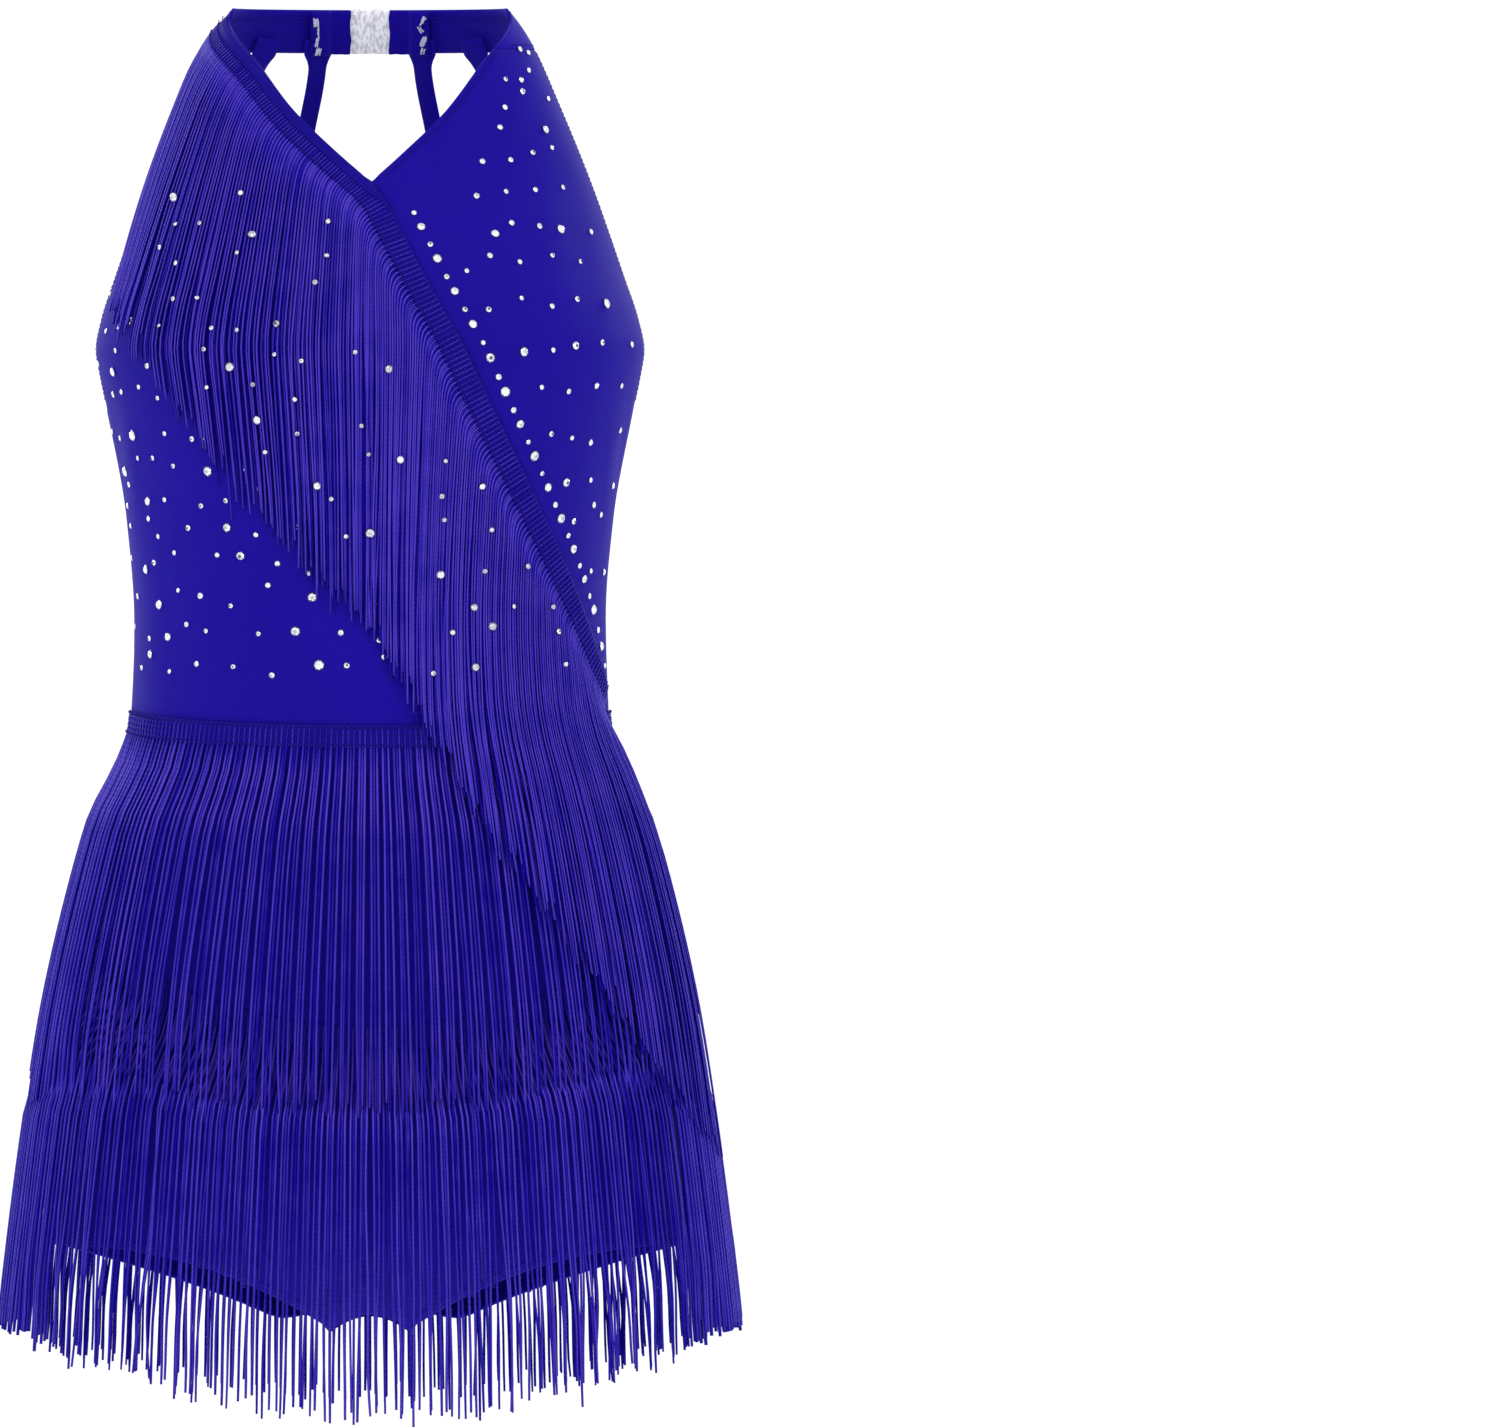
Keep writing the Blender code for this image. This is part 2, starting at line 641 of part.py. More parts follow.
def fringe(name, edges_at, locks, end_at, insets, seed, settle=0.0):
    """A tape with its locks fused to its lower edge. edges_at(t) gives the upper and lower places at t."""
    rng = random.Random(seed)
    shares = [0.0]
    for i in range(locks):
        shares += [(i + (1 - LOCK_SHARE) / 2) / locks, (i + (1 + LOCK_SHARE) / 2) / locks]
    shares.append(1.0)
    points, faces = [], []
    for share in shares:
        upper, lower = edges_at(share)
        points += [on_body(*upper, TAPE_OUT), on_body(*lower, TAPE_OUT)]
        points += [on_body(*lower, TAPE_IN), on_body(*upper, TAPE_IN)]
    last = len(shares) - 1
    faces.append([0, 3, 2, 1])
    faces.append([4 * last, 4 * last + 1, 4 * last + 2, 4 * last + 3])
    for i in range(last):
        here, there = 4 * i, 4 * i + 4
        faces.append([here, here + 1, there + 1, there])
        faces.append([here + 3, there + 3, there + 2, here + 2])
        faces.append([here, there, there + 3, here + 3])
        if i % 2 == 0:
            faces.append([here + 1, here + 2, there + 2, there + 1])
            continue
        ring = [here + 1, there + 1, there + 2, here + 2]
        left, right = edges_at(shares[i])[1], edges_at(shares[i + 1])[1]
        end = end_at((shares[i] + shares[i + 1]) / 2)
        for corners in lock_rings(left, right, end, insets, settle, rng):
            start = len(points)
            points += corners
            below = [start, start + 1, start + 2, start + 3]
            for a in range(4):
                b = (a + 1) % 4
                faces.append([ring[a], below[a], below[b], ring[b]])
            ring = below
        faces.append(ring)
    face_out(make(name, points, faces, "fringe"))


def make_tier(tier, seed):
    """One level row of fringe round half of the skirt."""
    middle = 0 if tier.side == "front" else 180

    def top_height(turn):
        level = abs(math.cos(math.radians(turn)))
        if tier.top_middle is None:
            return waist_height(turn) + TAPE_ABOVE_SEAM
        return mix(tier.top_side, tier.top_middle, level**TIER_BEND)

    def edges_at(share):
        turn = middle + mix(-SIDE_TURN, SIDE_TURN, share)
        top = top_height(turn)
        return (turn, top), (turn, top - TAPE_WIDTH)

    def end_at(share):
        return edges_at(share)[1][1] - tier.length

    fringe(tier.name, edges_at, tier.locks, end_at, tier.insets, seed)


def make_diagonal_fringe(seed):
    """The long row that follows the neckline from the collar and crosses the front to the far hip."""

    def upper_place(share):
        height = mix(DIAGONAL_TOP, DIAGONAL_END, share)
        if height > VEE:
            return -turn_at(read(NECKLINE, height), height), height
        return read(CROSSING, height), height

    lengths = [0.0]
    steps = DIAGONAL_STEPS
    for i in range(steps):
        here, there = upper_place(i / steps), upper_place((i + 1) / steps)
        lengths.append(lengths[-1] + (surface(BODY, *there) - surface(BODY, *here)).length)

    def along(share):
        """The height share at which this share of the tape's length is reached."""
        target = share * lengths[-1]
        i = next((i for i, length in enumerate(lengths) if length >= target and i), steps)
        step = (target - lengths[i - 1]) / (lengths[i] - lengths[i - 1])
        return (i - 1 + step) / steps

    def edges_at(share):
        share = along(share)
        turn, height = upper_place(share)
        ahead = upper_place(min(1.0, share + DIAGONAL_AIM))
        behind = upper_place(max(0.0, share - DIAGONAL_AIM))
        run = surface(BODY, *ahead) - surface(BODY, *behind)
        across = run.cross(outward(BODY, turn, height)).normalized()
        round_body = surface(BODY, turn + PROBE, height) - surface(BODY, turn - PROBE, height)
        lower_turn = turn + degrees_for(TAPE_WIDTH * across.dot(round_body.normalized()), turn, height)
        lower = (max(lower_turn, -DIAGONAL_SIDE_TURN), height + TAPE_WIDTH * across.z)
        return (turn, height), lower

    def end_at(share):
        turn, height = edges_at(share)[1]
        return height - read(DIAGONAL_DROPS, turn)

    fringe("diagonal_fringe", edges_at, DIAGONAL_LOCKS, end_at, [Inset(0.0, 0.0)], seed, SETTLE)


def make_material(name, colour, roughness, metallic):
    material = bpy.data.materials.new(name)
    material.use_nodes = True
    shader = material.node_tree.nodes["Principled BSDF"]
    shader.inputs["Base Color"].default_value = (*colour, 1.0)
    shader.inputs["Roughness"].default_value = roughness
    shader.inputs["Metallic"].default_value = metallic
    return material


for thing in list(bpy.data.objects):
    bpy.data.objects.remove(thing, do_unlink=True)
MATERIALS = {name: make_material(name, *values) for name, values in FINISHES.items()}
make_front_panels()
make_back_panel()
make_brief()
make_collar()
make_straps()
make_clasp()
for number, tier in enumerate(TIERS):
    make_tier(tier, number)
make_diagonal_fringe(len(TIERS))
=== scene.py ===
"""The looks of a latin dance leotard: knit cloth, corded fringe, stitching, clear clasp and stones.

Lengths in the tables are in millimetres. A place on the cloth is a turn and a height: the turn is in degrees
round the body, 0 at the middle of the front, 90 at the side on +X and 180 at the middle of the back.
"""

import math
from collections import namedtuple

import bmesh
import bpy
import numpy as np
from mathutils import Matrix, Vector


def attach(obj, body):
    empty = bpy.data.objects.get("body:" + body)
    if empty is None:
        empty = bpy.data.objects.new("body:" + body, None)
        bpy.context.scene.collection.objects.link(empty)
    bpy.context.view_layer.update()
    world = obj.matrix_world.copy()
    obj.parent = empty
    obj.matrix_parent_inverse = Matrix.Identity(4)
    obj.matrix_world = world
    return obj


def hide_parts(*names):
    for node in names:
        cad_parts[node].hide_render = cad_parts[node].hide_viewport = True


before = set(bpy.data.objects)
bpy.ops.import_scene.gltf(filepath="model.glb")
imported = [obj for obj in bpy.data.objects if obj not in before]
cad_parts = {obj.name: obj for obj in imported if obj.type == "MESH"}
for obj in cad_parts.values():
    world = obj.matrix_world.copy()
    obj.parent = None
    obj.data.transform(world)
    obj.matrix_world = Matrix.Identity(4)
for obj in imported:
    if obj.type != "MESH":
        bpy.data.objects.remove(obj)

bl_info = {
    "name": "Latin dance leotard",
    "version": (1, 0, 0),
    "blender": (4, 5, 0),
    "location": "3D View > Sidebar > Leotard",
    "description": "Builds the cloth, fringe, stitching, clasp and stones of a dance leotard",
    "category": "Object",
}

MM = 0.001
BODY_NAME = "root"

Section = namedtuple("Section", "height half_width front back")
Reach = namedtuple("Reach", "height reach")
Turn = namedtuple("Turn", "height turn")
Inset = namedtuple("Inset", "height inset")
Drop = namedtuple("Drop", "turn drop")

# The body that the cloth is cut for, from the collar down to the crotch
BODY_SECTIONS = [
    Section(13.0, 71.5, 45.0, 48.0),
    Section(2.0, 79.5, 48.5, 53.0),
    Section(-8.8, 86.0, 52.0, 58.0),
    Section(-35.0, 97.5, 60.0, 72.0),
    Section(-78.5, 115.0, 75.0, 86.0),
    Section(-128.0, 132.5, 98.0, 94.0),
    Section(-149.0, 139.5, 105.0, 94.5),
    Section(-165.0, 142.5, 108.0, 93.5),
    Section(-178.0, 140.5, 108.0, 92.0),
    Section(-195.0, 137.0, 106.5, 89.5),
    Section(-253.0, 126.6, 95.5, 80.0),
    Section(-305.0, 122.5, 87.0, 71.5),
    Section(-353.0, 124.0, 86.5, 75.0),
    Section(-388.0, 130.0, 89.5, 84.0),
    Section(-451.0, 143.0, 94.5, 101.0),
    Section(-529.0, 156.0, 94.0, 111.0),
    Section(-592.0, 162.0, 86.0, 108.0),
    Section(-630.0, 164.0, 76.0, 98.0),
    Section(-654.0, 164.0, 61.0, 84.0),
    Section(-676.0, 162.0, 42.0, 62.0),
]

# The outside of the fringe: it lies on the bodice and flares away from the brief
FRINGE_LIES = 2.4
FLARE_TOP = -310.0
FLARE_SECTIONS = [
    Section(-345.0, 127.5, 90.8, 79.0),
    Section(-365.0, 132.0, 94.2, 84.5),
    Section(-388.0, 140.5, 98.5, 92.0),
    Section(-430.0, 153.7, 106.0, 104.0),
    Section(-503.0, 171.0, 113.0, 121.0),
    Section(-555.0, 179.5, 116.5, 128.0),
    Section(-607.0, 186.7, 119.5, 133.0),
    Section(-669.0, 194.0, 123.0, 138.0),
    Section(-722.0, 199.0, 126.0, 141.0),
]

# Heights of the main lines
COLLAR_TOP = 13.0
COLLAR_SEAM = -8.8
VEE = -78.5
ARMPIT = -195.5
BACK_EDGE = -252.2
OVERLAP_END = -343.0
WAIST = -352.5
WAIST_DIP_FRONT = 8.0
WAIST_DIP_BACK = 33.0
WAIST_DIP_BEND = 1.6
DIP_START = -300.0
BACK_EDGE_BEND = 1.3
SIDE_TURN = 89.985
SEAM_GAP = 0.3
CLOSED_GAP = 0.02

# Edges of the front: how far the neckline lies from the middle, and where the crossing seam turns to
NECKLINE = [
    Reach(13.0, 71.2),
    Reach(7.3, 74.0),
    Reach(-17.7, 57.2),
    Reach(-42.0, 39.0),
    Reach(-65.0, 15.6),
    Reach(-78.5, 0.6),
]
CROSSING = [
    Turn(-78.5, 0.6),
    Turn(-90.5, 4.3),
    Turn(-136.8, 14.2),
    Turn(-183.6, 24.4),
    Turn(-248.6, 44.0),
    Turn(-294.8, 61.9),
    Turn(-338.0, 82.0),
    Turn(-345.0, 89.7),
]

# Straps of the open back, as distances from the middle
INNER_STRAP = [
    Reach(-1.0, 27.6),
    Reach(-13.0, 28.0),
    Reach(-53.0, 35.0),
    Reach(-101.0, 42.5),
    Reach(-246.5, 62.5),
]
OUTER_STRAP = [
    Reach(-1.0, 54.0),
    Reach(-13.0, 59.0),
    Reach(-40.0, 72.0),
    Reach(-76.0, 84.0),
    Reach(-102.0, 92.0),
    Reach(-154.0, 107.0),
    Reach(-181.0, 113.5),
    Reach(-226.0, 116.5),
]
STRAP_TOP_IN = 2.8
STRAP_BOTTOM_IN = 3.55
STRAP_HALF_WALL = 0.8
STRAP_TOP_SHARE = 0.08
STRAP_FLARE = 2.6
STRAP_FLARE_LENGTH = 8.0

# Crotch and leg openings
LEG_SIDE = -630.0
LEG_FRONT_LOW = -674.0
LEG_FRONT_NOTCH = 8.0
LEG_FRONT_BEND = 2.2
LEG_BACK_LOW = -670.0
LEG_BACK_NOTCH = 20.0
LEG_BACK_LOBE = 48.0
LEG_BACK_BEND = 0.8
LEG_BACK_ROUND = 0.05
LEG_HALF_WIDTH = 163.5
GUSSET_FRONT = 20.0
GUSSET_BACK = 27.0
GUSSET_SAG = 3.0

# Clasp, and the band's ends that come back from it and climb over the inner straps
CLASP_HALF_WIDTH = 10.0
CLASP_HEIGHT = 24.5
TabStep = namedtuple("TabStep", "reach inwards")
TAB = [
    TabStep(10.3, 2.35),
    TabStep(16.0, 2.35),
    TabStep(20.5, 2.35),
    TabStep(22.6, 4.85),
    TabStep(27.0, 4.85),
    TabStep(32.0, 4.85),
]
TAB_WALL = 1.0
TAB_STEPS, TAB_SMOOTHING = 36, 5
TAB_WAVE, TAB_RIPPLE, TAB_LUMPS, TAB_EDGE_LUMP = 0.3, 0.12, 0.4, 0.25

# The neckband's rounded front corner
COLLAR_LENGTH = 130.0
COLLAR_CORNER = 9.0
COLLAR_CORNER_DROP = 3.4

# Knots of pale thread that tack the band's ends down
Knot = namedtuple("Knot", "side reach height length lean strands")
KNOTS = [
    Knot(1, 29.4, 9.6, 4.5, 0.5, 5),
    Knot(1, 27.6, 5.2, 3.4, -0.6, 3),
    Knot(1, 29.2, -1.0, 5.2, 0.35, 7),
    Knot(1, 28.6, -6.0, 3.0, 0.2, 4),
    Knot(-1, 29.6, 8.6, 4.2, 0.1, 9),
    Knot(-1, 29.4, 3.6, 6.0, 0.1, 2),
    Knot(-1, 28.8, -1.5, 5.4, -0.15, 3),
    Knot(-1, 28.4, -6.2, 3.2, -0.3, 8),
]

TACK_SEED, TACK_POINTS = 11, 7
TACK_OUT, TACK_LIFT, TACK_HALF_WIDTH = -6.2, 0.5, 0.36
VEE_TACKS, VEE_TACK_OUT, VEE_TACK_HALF_WIDTH = 5, -1.3, 0.26

# Fringe tapes
TAPE_WIDTH = 12.0
TAPE_IN = 0.6
TAPE_ABOVE_SEAM = 0.6
ROOT_BLEND = 45.0
TIER_BEND = 2.0
DIAGONAL_TOP = 9.0
DIAGONAL_END = -339.0
DIAGONAL_AIM = 0.04
DIAGONAL_SIDE_TURN = 89.4
DIAGONAL_BINDING = 5.6
SETTLE_TURN = -64.0
SETTLE = 0.58

# A tier with no height of its own starts at the waist seam. An inset says how far inside it hangs.
# Gather is how far the cords draw together into bundles, from a share of their length on.
# Tone is how light they are, sway how far they wander and ragged how unevenly they end.
Tier = namedtuple(
    "Tier", "name side node top_middle top_side length pitch cord gather from_share sway ragged tone insets"
)
TIERS = [
    Tier(
        "waist_cords_front", "front", "waist_fringe_front", None, None, 186.0,
        1.9, 1.45, 0.3, 0.1, 0.7, 5.0, 0.46,
        [Inset(-353.0, 3.2)],
    ),
    Tier(
        "waist_cords_back", "back", "waist_fringe_back", None, None, 138.0,
        1.9, 1.45, 0.3, 0.1, 0.7, 4.0, 0.46,
        [Inset(-353.0, 1.3)],
    ),
    Tier(
        "middle_cords_back", "back", "middle_fringe_back", -428.0, -397.0, 149.0,
        1.85, 1.4, 0.35, 0.1, 0.7, 4.0, 0.44,
        [Inset(-541.0, 4.0), Inset(-560.0, 1.3)],
    ),
    Tier(
        "lower_cords_front", "front", "lower_fringe_front", -516.0, -469.0, 188.0,
        1.66, 1.38, 0.92, 0.6, 1.0, 3.4, 0.4,
        [Inset(-544.0, 4.0), Inset(-560.0, 1.4)],
    ),
    Tier(
        "lower_cords_back", "back", "lower_fringe_back", -511.0, -470.0, 188.0,
        1.66, 1.38, 0.92, 0.6, 1.0, 3.4, 0.4,
        [Inset(-541.0, 7.4), Inset(-560.0, 4.4), Inset(-597.0, 4.2), Inset(-622.0, 1.3)],
    ),
]

# How far a cord of the diagonal row hangs below its tape, by the turn at which it hangs
DIAGONAL_DROPS = [
    Drop(84.0, 238.0),
    Drop(64.0, 232.0),
    Drop(37.0, 209.0),
    Drop(20.0, 193.0),
    Drop(8.0, 197.0),
    Drop(-6.0, 214.0),
    Drop(-30.0, 190.0),
    Drop(-53.0, 148.0),
    Drop(-84.0, 130.0),
]

# Soft folds of the worn cloth: a ridge where depth is above zero, a trough where it is below
Fold = namedtuple("Fold", "turn height across along lean depth")
FOLDS = [
    Fold(106, -285, 5.0, 46, 4, 0.9),
    Fold(114, -292, 4.5, 52, 3, -0.8),
    Fold(122, -282, 6.0, 44, 1, 0.8),
    Fold(134, -300, 7.0, 40, -3, -0.6),
    Fold(-104, -280, 5.5, 50, -5, 0.9),
    Fold(-113, -296, 5.0, 44, -2, -0.9),
    Fold(-123, -288, 5.5, 48, -1, 0.7),
    Fold(-137, -305, 8.0, 36, 4, -0.5),
    Fold(180, -330, 26.0, 8, 0, -0.5),
    Fold(168, -296, 15.0, 9, 8, 0.4),
    Fold(80, -214, 7.0, 24, 18, -0.7),
    Fold(72, -228, 7.0, 30, 15, 0.6),
    Fold(-80, -216, 8.0, 26, -16, -0.7),
    Fold(-71, -232, 7.0, 28, -12, 0.6),
    Fold(-58, -300, 9.0, 34, 10, -0.5),
    Fold(-42, -318, 8.0, 26, 14, 0.4),
    Fold(58, -120, 9.0, 34, -14, -0.5),
    Fold(47, -108, 8.0, 30, -18, 0.4),
    Fold(-64, -128, 9.0, 36, 12, -0.5),
    Fold(12, -640, 6.0, 20, 10, -0.8),
    Fold(-14, -636, 6.0, 22, -12, -0.7),
    Fold(166, -628, 7.0, 26, 10, -0.8),
    Fold(193, -632, 7.0, 24, -9, 0.7),
]
RIPPLE_DEPTH = 0.22

# Spans that set how many steps a cloth mesh has, and how close its last row lies to its rim
WRAP_SPAN, OVERLAP_SPAN = 330.0, 160.0
BACK_SPAN, BACK_DROP = 340.0, 140.0
BRIEF_FLANK, BRIEF_DROP, BRIEF_COARSER = 190.0, 300.0, 1.4
RIM_STEP, RIM_TURN = 0.8, 0.4
RIM_ACROSS, RIM_DOWN = 0.002, 0.003
RIM_THIN = 0.45
PLAIN_TONE = 0.5
HEM_STEPS, HEM_RIM = 5, 0.08
HEM_BEHIND, HEM_PRESSED = 0.08, 0.8
STRAP_TOP_ROWS, STRAP_ROWS = 14, 48

# Pitch of the knit's wales, twist of the thread, and how a stitch rises and sinks along its length
KNIT_PITCH = 0.62
THREAD_TWIST = 0.7
STITCH_SHARES = np.array([0.03, 0.2, 0.5, 0.8, 0.97])
STITCH_RISE = np.array([-0.35, 0.1, 0.2, 0.1, -0.35])


# Places on the body


class Curve:
    """A smooth curve through a table whose first column falls. It never overshoots its rows."""

    def __init__(self, rows, column=1):
        self.height = np.array([row[0] for row in rows], float)
        self.size = np.array([row[column] for row in rows], float)
        if len(rows) == 1:
            return
        rise = np.diff(self.size) / np.diff(self.height)
        self.slope = np.concatenate([rise[:1], np.zeros(len(rows) - 2), rise[-1:]])
        same_way = rise[:-1] * rise[1:] > 0
        middle = 2 * rise[:-1] * rise[1:] / np.where(same_way, rise[:-1] + rise[1:], 1.0)
        self.slope[1:-1] = np.where(same_way, middle, 0.0)

    def __call__(self, height):
        height = np.asarray(height, float)
        if len(self.height) == 1:
            return np.full(height.shape, self.size[0])
        height = np.clip(height, self.height[-1], self.height[0])
        row = np.clip(np.searchsorted(-self.height, -height, side="right") - 1, 0, len(self.height) - 2)
        span = self.height[row + 1] - self.height[row]
        t = (height - self.height[row]) / span
        start, end = self.size[row], self.size[row + 1]
        leave = self.slope[row] * span - (end - start)
        arrive = (end - start) - self.slope[row + 1] * span
        return (1 - t) * start + t * end + t * (1 - t) * ((1 - t) * leave + t * arrive)


class Tube:
    """A tapering oval tube that the cloth or the fringe follows."""

    def __init__(self, sections):
        self.half_width = Curve(sections, 1)
        self.front = Curve(sections, 2)
        self.back = Curve(sections, 3)

    def bare(self, turn, height):
        angle = np.radians(turn)
        depth = np.where(np.cos(angle) > 0, self.front(height), self.back(height))
        side, ahead = self.half_width(height) * np.sin(angle), -depth * np.cos(angle)
        return np.stack(np.broadcast_arrays(side, ahead, height), axis=-1)

    def normal(self, turn, height):
        across = self.bare(turn + 0.5, height) - self.bare(turn - 0.5, height)
        up = self.bare(turn, height + 0.5) - self.bare(turn, height - 0.5)
        return unit(np.cross(across, up))

    def point(self, turn, height, out=0.0):
        turn, height, out = np.broadcast_arrays(*(np.asarray(x, float) for x in (turn, height, out)))
        return self.bare(turn, height) + self.normal(turn, height) * out[..., None]

    def degrees(self, distance, turn, height):
        """How many degrees of turn make this distance round the tube."""
        across = self.bare(turn + 0.5, height) - self.bare(turn - 0.5, height)
        return distance / np.linalg.norm(across, axis=-1)

    def turn_at(self, reach, height):
        """The turn at which the tube is this far to the side of its middle."""
        return np.degrees(np.arcsin(np.minimum(1.0, reach / self.half_width(height))))


def unit(vectors):
    """Vectors of the same direction and of length 1."""
    return vectors / np.maximum(np.linalg.norm(vectors, axis=-1, keepdims=True), 1e-9)


BODY = Tube(BODY_SECTIONS)
OUTSIDE = Tube(
    [
        Section(row.height, *(size + FRINGE_LIES for size in row[1:]))
        for row in BODY_SECTIONS
        if row.height > FLARE_TOP
    ]
    + FLARE_SECTIONS
)
NECK_REACH = Curve(NECKLINE)
CROSSING_TURN = Curve(CROSSING)


def ease(t):
    """A smooth step from 0 to 1."""
    t = np.clip(t, 0.0, 1.0)
    return t * t * (3 - 2 * t)


def mix(a, b, t):
    """A value a share t of the way from a to b."""
    return a + (b - a) * t


def bell(x):
    """A smooth bump of height 1 that has faded out two steps from its middle."""
    return np.exp(-(x**2))


def shares(count, rim=0.0):
    """Even steps from 0 to 1, with one more step close to each end where rim is given."""
    if not rim:
        return np.linspace(0, 1, count + 1)
    return np.concatenate([[0.0], np.linspace(rim, 1 - rim, count - 1), [1.0]])


def cloth_rise(turn, height):
    """How far the worn cloth stands off its smooth form."""
    turn, height = np.broadcast_arrays(np.asarray(turn, float), np.asarray(height, float))
    rise = RIPPLE_DEPTH * np.sin(turn * 0.13 + height * 0.031) * np.cos(height * 0.019 - turn * 0.07)
    around = 1 / BODY.degrees(1.0, turn, height)
    for fold in FOLDS:
        away = (turn - fold.turn + 180) % 360 - 180
        side = away * around
        down = height - fold.height
        lean = math.radians(fold.lean)
        across = side * math.cos(lean) + down * math.sin(lean)
        along = down * math.cos(lean) - side * math.sin(lean)
        rise = rise + fold.depth * bell(across / fold.across) * bell(along / fold.along)
    return rise


def waist_height(turn):
    """Height of the waist seam, which dips towards the middle of the front and further at the back."""
    level = np.cos(np.radians(turn))
    back = WAIST - WAIST_DIP_BACK * np.maximum(0.0, -level) ** WAIST_DIP_BEND
    return np.where(level > 0, WAIST - WAIST_DIP_FRONT * level, back)


def back_edge_height(turn):
    """Height of the low back's upper edge."""
    return BACK_EDGE + (ARMPIT - BACK_EDGE) * (np.abs(turn - 180) / 90) ** BACK_EDGE_BEND


def leg_front_height(turn):
    """Height of the brief's lower edge at the front, lowest beside the gusset."""
    reach = np.abs(LEG_HALF_WIDTH * np.sin(np.radians(turn)))
    middle = LEG_FRONT_LOW + LEG_FRONT_NOTCH * (1 - (reach / GUSSET_FRONT) ** 2)
    share = np.maximum(0.0, (reach - GUSSET_FRONT) / (LEG_HALF_WIDTH - GUSSET_FRONT))
    side = LEG_FRONT_LOW + (LEG_SIDE - LEG_FRONT_LOW) * (1 - (1 - share) ** LEG_FRONT_BEND)
    return np.where(reach < GUSSET_FRONT, middle, side)


def leg_back_height(turn):
    """Height of the brief's lower edge at the back, lowest at each side of a notch."""
    reach = np.abs(LEG_HALF_WIDTH * np.sin(np.radians(turn)))
    lobe = LEG_BACK_LOW + LEG_BACK_NOTCH * np.maximum(0.0, 1 - reach / LEG_BACK_LOBE) ** 2
    share = np.maximum(0.0, (reach - LEG_BACK_LOBE) / (LEG_HALF_WIDTH - LEG_BACK_LOBE))
    rise = share**2 * (1 + LEG_BACK_ROUND) / (share + LEG_BACK_ROUND)
    side = LEG_BACK_LOW + (LEG_SIDE - LEG_BACK_LOW) * rise**LEG_BACK_BEND
    return np.where(reach < LEG_BACK_LOBE, lobe, side)


def dipped(turn, height):
    """The lowest rows of the front dip with the waist."""
    dip = WAIST_DIP_FRONT * np.maximum(0.0, (DIP_START - height) / (DIP_START - WAIST))
    return height - dip * np.cos(np.radians(turn))


# Mesh building


class Form:
    """Gathers points and four-cornered faces for one mesh, with places along the cloth for its finish."""

    def __init__(self):
        self.points, self.faces, self.places, self.tones, self.count = [], [], [], [], 0

    def add(self, points, faces, places, tones=None):
        points = np.asarray(points, float).reshape(-1, 3)
        self.points.append(points)
        self.faces.append(np.asarray(faces, int).reshape(-1, 4) + self.count)
        self.places.append(np.asarray(places, float).reshape(-1, 4, 2))
        plain = np.full(len(points), PLAIN_TONE)
        self.tones.append(plain if tones is None else np.asarray(tones, float).ravel())
        self.count += len(points)

    def make(self, name, finish, slot, replaces=()):
        """Turns what was gathered into a piece of the garment."""
        mesh = bpy.data.meshes.new(name)
        points, faces = np.concatenate(self.points), np.concatenate(self.faces)
        mesh.vertices.add(len(points))
        mesh.vertices.foreach_set("co", (points * MM).ravel())
        mesh.loops.add(faces.size)
        mesh.loops.foreach_set("vertex_index", faces.ravel().astype(np.int32))
        mesh.polygons.add(len(faces))
        mesh.polygons.foreach_set("loop_start", np.arange(0, faces.size, 4, dtype=np.int32))
        mesh.update(calc_edges=True)
        layer = mesh.uv_layers.new(name="cloth")
        layer.data.foreach_set("uv", np.concatenate(self.places).ravel())
        tone = mesh.attributes.new("tone", "FLOAT", "POINT")
        tone.data.foreach_set("value", np.concatenate(self.tones))
        if mesh.validate():
            raise ValueError(f"{name} has faces that aren't valid")
        mesh.shade_smooth()
        mesh.materials.append(finish)
        return add_piece(name, mesh, replaces)


def add_piece(name, mesh, replaces=()):
    """Puts a mesh in the scene as a piece of the garment."""
    piece = bpy.data.objects.new(name, mesh)
    bpy.context.scene.collection.objects.link(piece)
    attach(piece, BODY_NAME)
    if replaces:
        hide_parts(*replaces)
    return piece


def grid_faces(rows, columns):
    """Faces between the points of a grid."""
    row, column = np.meshgrid(np.arange(rows - 1), np.arange(columns - 1), indexing="ij")
    here = (row * columns + column).ravel()
    return np.stack([here, here + columns, here + columns + 1, here + 1], axis=-1)


